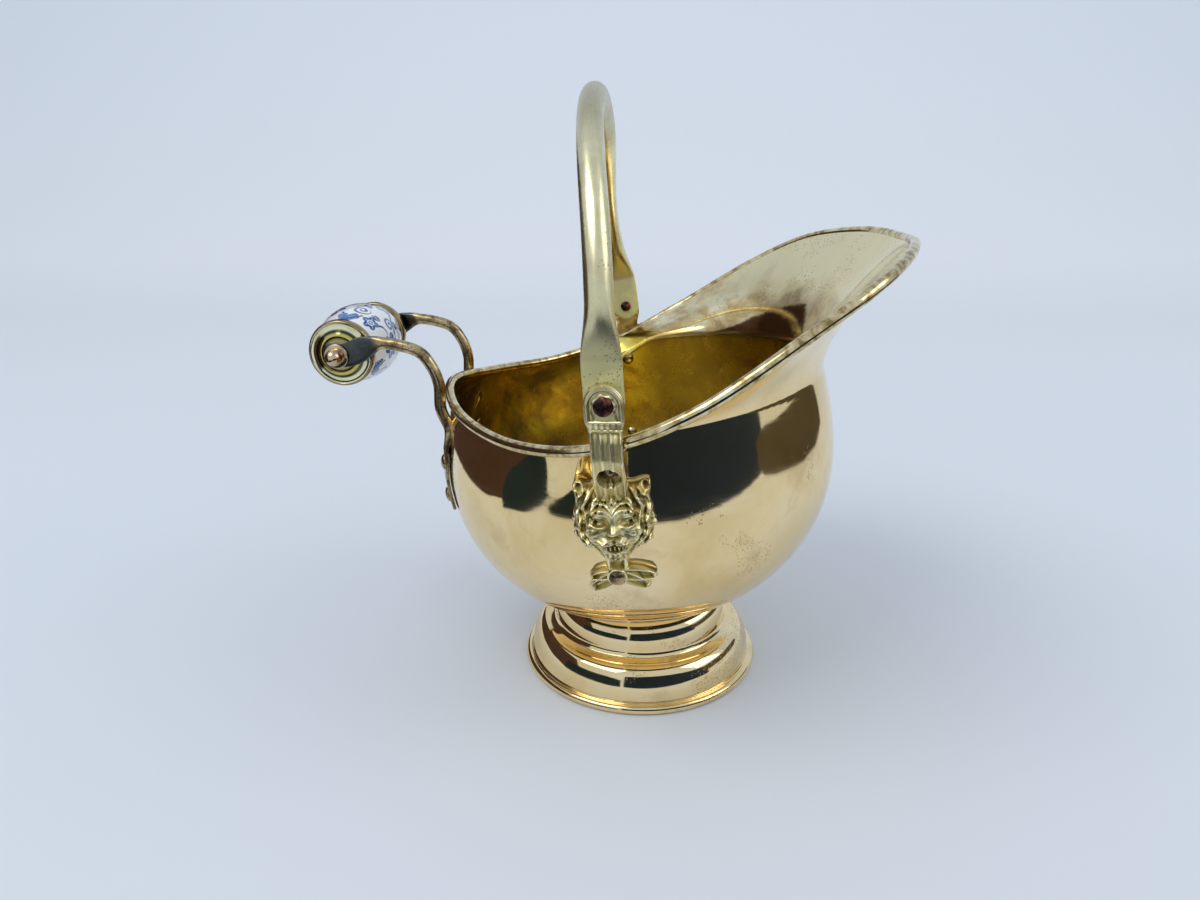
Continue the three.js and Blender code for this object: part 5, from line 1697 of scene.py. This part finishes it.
unrolled = around_grip / (2 * math.pi) * PAINT_ROUND + PAINT_START
along_grip = barrel_points[:, 2]
painted = scroll(unrolled, along_grip, PAINT_PERIOD) * (np.abs(along_grip) < BELLY - 0.6)


def paint_key(points):
    """Places to a hundredth of a millimetre, to find vertices again after the mesh is cleaned."""
    return [tuple(row) for row in np.round(points * 1e5).astype(int)]


grip_points = barrel_points @ laid.T + grip_place
grip_faces = grid_faces(len(barrel), GRIP_COLUMNS, wrap_rows=True)
grip = mesh_object("porcelain_grip", grip_points, grip_faces, glaze, body="grip")
shares = dict(zip(paint_key(to_frame(grip_points)), painted))
final_at = np.array([vertex.co[:] for vertex in grip.data.vertices])
layer = grip.data.attributes.new("blue", "FLOAT", "POINT")
layer.data.foreach_set("value", [float(shares.get(key, 0)) for key in paint_key(final_at)])
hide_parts("grip")
print("grip faces:", len(grip.data.polygons), "share of blue:", round(float(painted.mean()), 2))

# %% [markdown]
# ## Cups, nuts and the cross rod
# A spun cup closes each end of the porcelain: a rolled rim, a wide dish, a step and a low boss.
# The arms' flat eyes come next on the rod, and a ball nut with a flange holds each side.

# %% Cups and nuts
END = HALF_GRIP
CUP_COLUMNS, NUT_COLUMNS, ROD_COLUMNS = 144, 72, 32
cup_turn = np.radians(np.linspace(180, 0, 14))
cup_profile = np.vstack(
    [
        rounded(
            [(2.35, END + 1.5), (9.3, END + 0.3), (12.2, END + 0.3), (12.2, END - 2.0)],
            0.3, 3,
        ),
        np.stack([13.0 + 0.8 * np.cos(cup_turn), END - 2.0 - 0.6 * np.sin(cup_turn)], 1),
        rounded(
            [(13.8, END - 0.6), (13.75, END + 0.5), (13.1, END + 1.25), (12.5, END + 0.85),
             (11.5, END + 0.9), (9.8, END + 1.7), (8.2, END + 2.6), (7.5, END + 2.8),
             (7.0, END + 2.3), (5.4, END + 3.1), (2.35, END + 3.45)],
            0.35, 4,
        ),
    ]
)
FLANGE = 28.3 + 0.3  # the arm's outer face and a clearance
NUT_RADIUS, FLANGE_RADIUS = 3.4, 5.0
nut_turn = np.radians(np.linspace(-42, 90, 30))
nut_profile = np.vstack(
    [
        rounded(
            [(0, FLANGE), (FLANGE_RADIUS, FLANGE), (FLANGE_RADIUS, FLANGE + 0.9),
             (3.0, FLANGE + 1.2)],
            0.3, 4,
        ),
        np.stack([np.cos(nut_turn), 1 + np.sin(nut_turn)], 1) * NUT_RADIUS + [0, FLANGE],
    ]
)
nut_profile[-1, 0] = 0
for word, side in MIRRORED:
    lay = laid * [[1], [side], [1]]
    cup_points = lathe_points(cup_profile, CUP_COLUMNS) @ lay.T + grip_place
    cup_faces = grid_faces(len(cup_profile), CUP_COLUMNS, wrap_rows=True)
    cup = mesh_object(f"cup_{word}", cup_points, cup_faces, cup_brass, body="grip")
    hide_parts(f"grip_cup_{word}")
    nut_points = lathe_points(nut_profile, NUT_COLUMNS) @ lay.T + grip_place
    nut_faces = grid_faces(len(nut_profile), NUT_COLUMNS)
    nut = mesh_object(f"ball_{word}", nut_points, nut_faces, nut_brass)
    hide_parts(f"ball_nut_{word}")
ROD_RADIUS, ROD_HALF_LENGTH = 2, 29.5
rod_profile = rounded(
    [(0, -ROD_HALF_LENGTH), (ROD_RADIUS, -ROD_HALF_LENGTH),
     (ROD_RADIUS, ROD_HALF_LENGTH), (0, ROD_HALF_LENGTH)],
    0.2, 3,
)
rod_points = lathe_points(rod_profile, ROD_COLUMNS) @ laid.T + grip_place
rod = mesh_object("cross_rod", rod_points, grid_faces(len(rod_profile), ROD_COLUMNS), aged)
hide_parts("grip_rod")
print("cup rows:", len(cup_profile), "nut rows:", len(nut_profile))

# %% [markdown]
# ## Stage
# The scuttle stands on a pale sweep, a floor that bends up into a wall without a corner. Its paper
# is painted a cool grey in front and paler behind and higher up, by its own place, as the
# photograph's backdrop is: painted light for the light that falls brighter on the wall. Its
# borders stay out of the camera's view, and from behind its front edge is a far horizon.


# %% Sweep
def plain_material(name, colour, roughness=0.9):
    material = bpy.data.materials.new(name)
    material.use_nodes = True
    shader = material.node_tree.nodes["Principled BSDF"]
    shader.inputs["Base Color"].default_value = (*colour, 1)
    shader.inputs["Roughness"].default_value = roughness
    return material


def stage_mesh(name, points, faces, material):
    mesh = bpy.data.meshes.new(name)
    mesh.from_pydata([tuple(map(float, p)) for p in points], [], faces)
    mesh.materials.append(material)
    mesh.polygons.foreach_set("use_smooth", [True] * len(mesh.polygons))
    obj = bpy.data.objects.new(name, mesh)
    bpy.context.scene.collection.objects.link(obj)
    return obj


FRONT_GREY, LIT_WALL_FOOT, LIT_WALL_TOP = (0.70, 0.735, 0.78), (0.87, 0.885, 0.90), (0.86, 0.885, 0.915)
paper = plain_material("paper sweep", FRONT_GREY)
paper_tree = paper.node_tree
paper_place = add_node(paper_tree, "ShaderNodeTexCoord").outputs["Object"]
backwards, upwards = axis_of(paper_tree, paper_place, 1), axis_of(paper_tree, paper_place, 2)
# Painted light: the paper is painted paler behind and higher up, for light that falls brighter on
# the wall.
painted_light_share = math_node(paper_tree, "MULTIPLY_ADD", backwards, 0.40, -0.03, clamp=True)
painted_light_share = math_node(paper_tree, "MULTIPLY_ADD", upwards, 0.9, painted_light_share, clamp=True)
paper_painted_light = ramp(paper_tree, painted_light_share, [(0.0, FRONT_GREY), (0.5, LIT_WALL_FOOT), (1.0, LIT_WALL_TOP)])
paper_shader = paper_tree.nodes["Principled BSDF"]
paper_tree.links.new(paper_painted_light, paper_shader.inputs["Base Color"])

# The sweep's course in metres, as [Y, Z]: forwards, a quarter bend, then up.
SWEEP_FRONT, SWEEP_BEND, SWEEP_TOP, SWEEP_HALF_WIDTH = -4.0, 0.9, 3.2, 6.0
bend = np.radians(np.linspace(0, 90, 24))[1:]
sweep_line = [(SWEEP_FRONT, 0.0), (SWEEP_BEND, 0.0)]
sweep_line += [
    (SWEEP_BEND + SWEEP_BEND * math.sin(a), SWEEP_BEND - SWEEP_BEND * math.cos(a)) for a in bend
]
sweep_line.append((2 * SWEEP_BEND, SWEEP_TOP))
sweep_points = [(x, y, z) for y, z in sweep_line for x in (-SWEEP_HALF_WIDTH, SWEEP_HALF_WIDTH)]


def strip_faces(count):
    """Faces of a strip whose points come in pairs."""
    return [(2 * k, 2 * k + 1, 2 * k + 3, 2 * k + 2) for k in range(count - 1)]


stage_mesh("sweep", sweep_points, strip_faces(len(sweep_line)), paper)
print("sweep rows:", len(sweep_line))

# %% [markdown]
# Polished metal only shows what it mirrors. A bright empty room would leave the bowl without form,
# so dark cards stand round the scuttle. They give the dark band under the mouth, and only mirror
# rays see them: they are hidden from the camera and cast no shadow.


# %% Dark cards
CARD_COLUMNS = 40


def card(name, colour, stations):
    """A standing card through stations of [x, y, lower edge, upper edge] in metres."""
    at = np.linspace(0, len(stations) - 1, CARD_COLUMNS)
    columns = np.array(stations, float).T
    x, y, low, high = (np.interp(at, range(len(stations)), column) for column in columns)
    points = [(x[k], y[k], edge[k]) for k in range(CARD_COLUMNS) for edge in (low, high)]
    felt = plain_material(name + " felt", colour)
    obj = stage_mesh(name, points, strip_faces(CARD_COLUMNS), felt)
    obj.visible_camera = False
    obj.visible_diffuse = False
    obj.visible_shadow = False


def bent(far, stations):
    """Stations of [bearing, lower edge, upper edge] on an arc round the scuttle."""
    return [
        (far * math.cos(math.radians(bearing)), far * math.sin(math.radians(bearing)), low, high)
        for bearing, low, high in stations
    ]


INK, UMBER, BOTTLE, RUST = (
    (0.006, 0.017, 0.040), (0.095, 0.075, 0.042), (0.006, 0.022, 0.034), (0.070, 0.032, 0.020)
)
front_line = [(-0.05, -0.30, 0, 0.15), (0.10, -0.30, 0, 0.17), (0.30, -0.30, 0, 0.20)]
card("card_front", INK, front_line + [(0.78, -0.26, 0, 0.28)])
right_arc = [(-26, 0.07, 0.12), (-22, 0.05, 0.145), (20, 0.05, 0.155), (27, 0.07, 0.13)]
card("card_right", UMBER, bent(0.42, right_arc))
low_arc = [(-160, 0.0, 0.09), (-130, 0.0, 0.10), (-116, 0.0, 0.10), (-102, 0.0, 0.07)]
card("card_low", BOTTLE, bent(0.28, low_arc))
left_arc = [(-240, 0.06, 0.28), (-200, 0.03, 0.34), (-160, 0.0, 0.26), (-147, 0.0, 0.10)]
card("card_left", RUST, bent(0.34, left_arc))
print("cards up")

# %% [markdown]
# ## Light
# The light is that of a bright room: a pale blue surround does most of the work, and two large
# soft boxes from above add a little direction.

# %% Lights
world = bpy.data.worlds.new("studio")
bpy.context.scene.world = world
world.use_nodes = True
surround = world.node_tree.nodes["Background"]
surround.inputs["Color"].default_value = (0.80, 0.88, 1.0, 1)
surround.inputs["Strength"].default_value = 0.75


def softbox(name, place, size, power, colour=(1, 1, 1)):
    """A rectangular light aimed at the middle of the bowl."""
    light = bpy.data.lights.new(name, "AREA")
    light.shape = "RECTANGLE"
    light.size, light.size_y = size
    light.energy = power
    light.color = colour
    obj = bpy.data.objects.new(name, light)
    obj.location = place
    obj.rotation_euler = (BOWL_MIDDLE - Vector(place)).to_track_quat("-Z", "Y").to_euler()
    bpy.context.scene.collection.objects.link(obj)


BOWL_MIDDLE = Vector((0, 0, 0.1))
softbox("key", (-0.7, -0.6, 1.5), (1.1, 0.9), 9, (1.0, 0.98, 0.95))
softbox("fill", (1.3, -0.2, 1.1), (0.9, 0.9), 4)

# %% [markdown]
# ## Camera
# The camera stands where the photograph was taken, in front of the right side and a little above,
# found by matching the foot's rings, the mouth and the pivots.

# %% Camera
camera_data = bpy.data.cameras.new("camera")
FOCAL_PIXELS, PHOTO_WIDTH = 825.9, 1200
CAMERA_PLACE = (6.0, -351.2, 225.1)  # from the foot's middle on the floor, in millimetres
camera_data.sensor_width = 36
camera_data.lens = FOCAL_PIXELS * camera_data.sensor_width / PHOTO_WIDTH
camera = bpy.data.objects.new("camera", camera_data)
bpy.context.scene.collection.objects.link(camera)
bpy.context.scene.camera = camera
yaw, pitch, roll = math.radians(-4.0), math.radians(19.36), math.radians(0.46)
forward = np.array(
    [math.sin(yaw) * math.cos(pitch), math.cos(yaw) * math.cos(pitch), -math.sin(pitch)]
)
right = np.array([math.cos(yaw), -math.sin(yaw), 0])
down = np.cross(forward, right)
right, down = (
    math.cos(roll) * right + math.sin(roll) * down,
    -math.sin(roll) * right + math.cos(roll) * down,
)
place = to_frame(CAMERA_PLACE)[0]
camera.matrix_world = Matrix(
    [[right[k], -down[k], -forward[k], place[k]] for k in range(3)] + [[0, 0, 0, 1]]
)
bpy.context.scene.view_settings.view_transform = "Standard"
print("camera at", place.round(3))
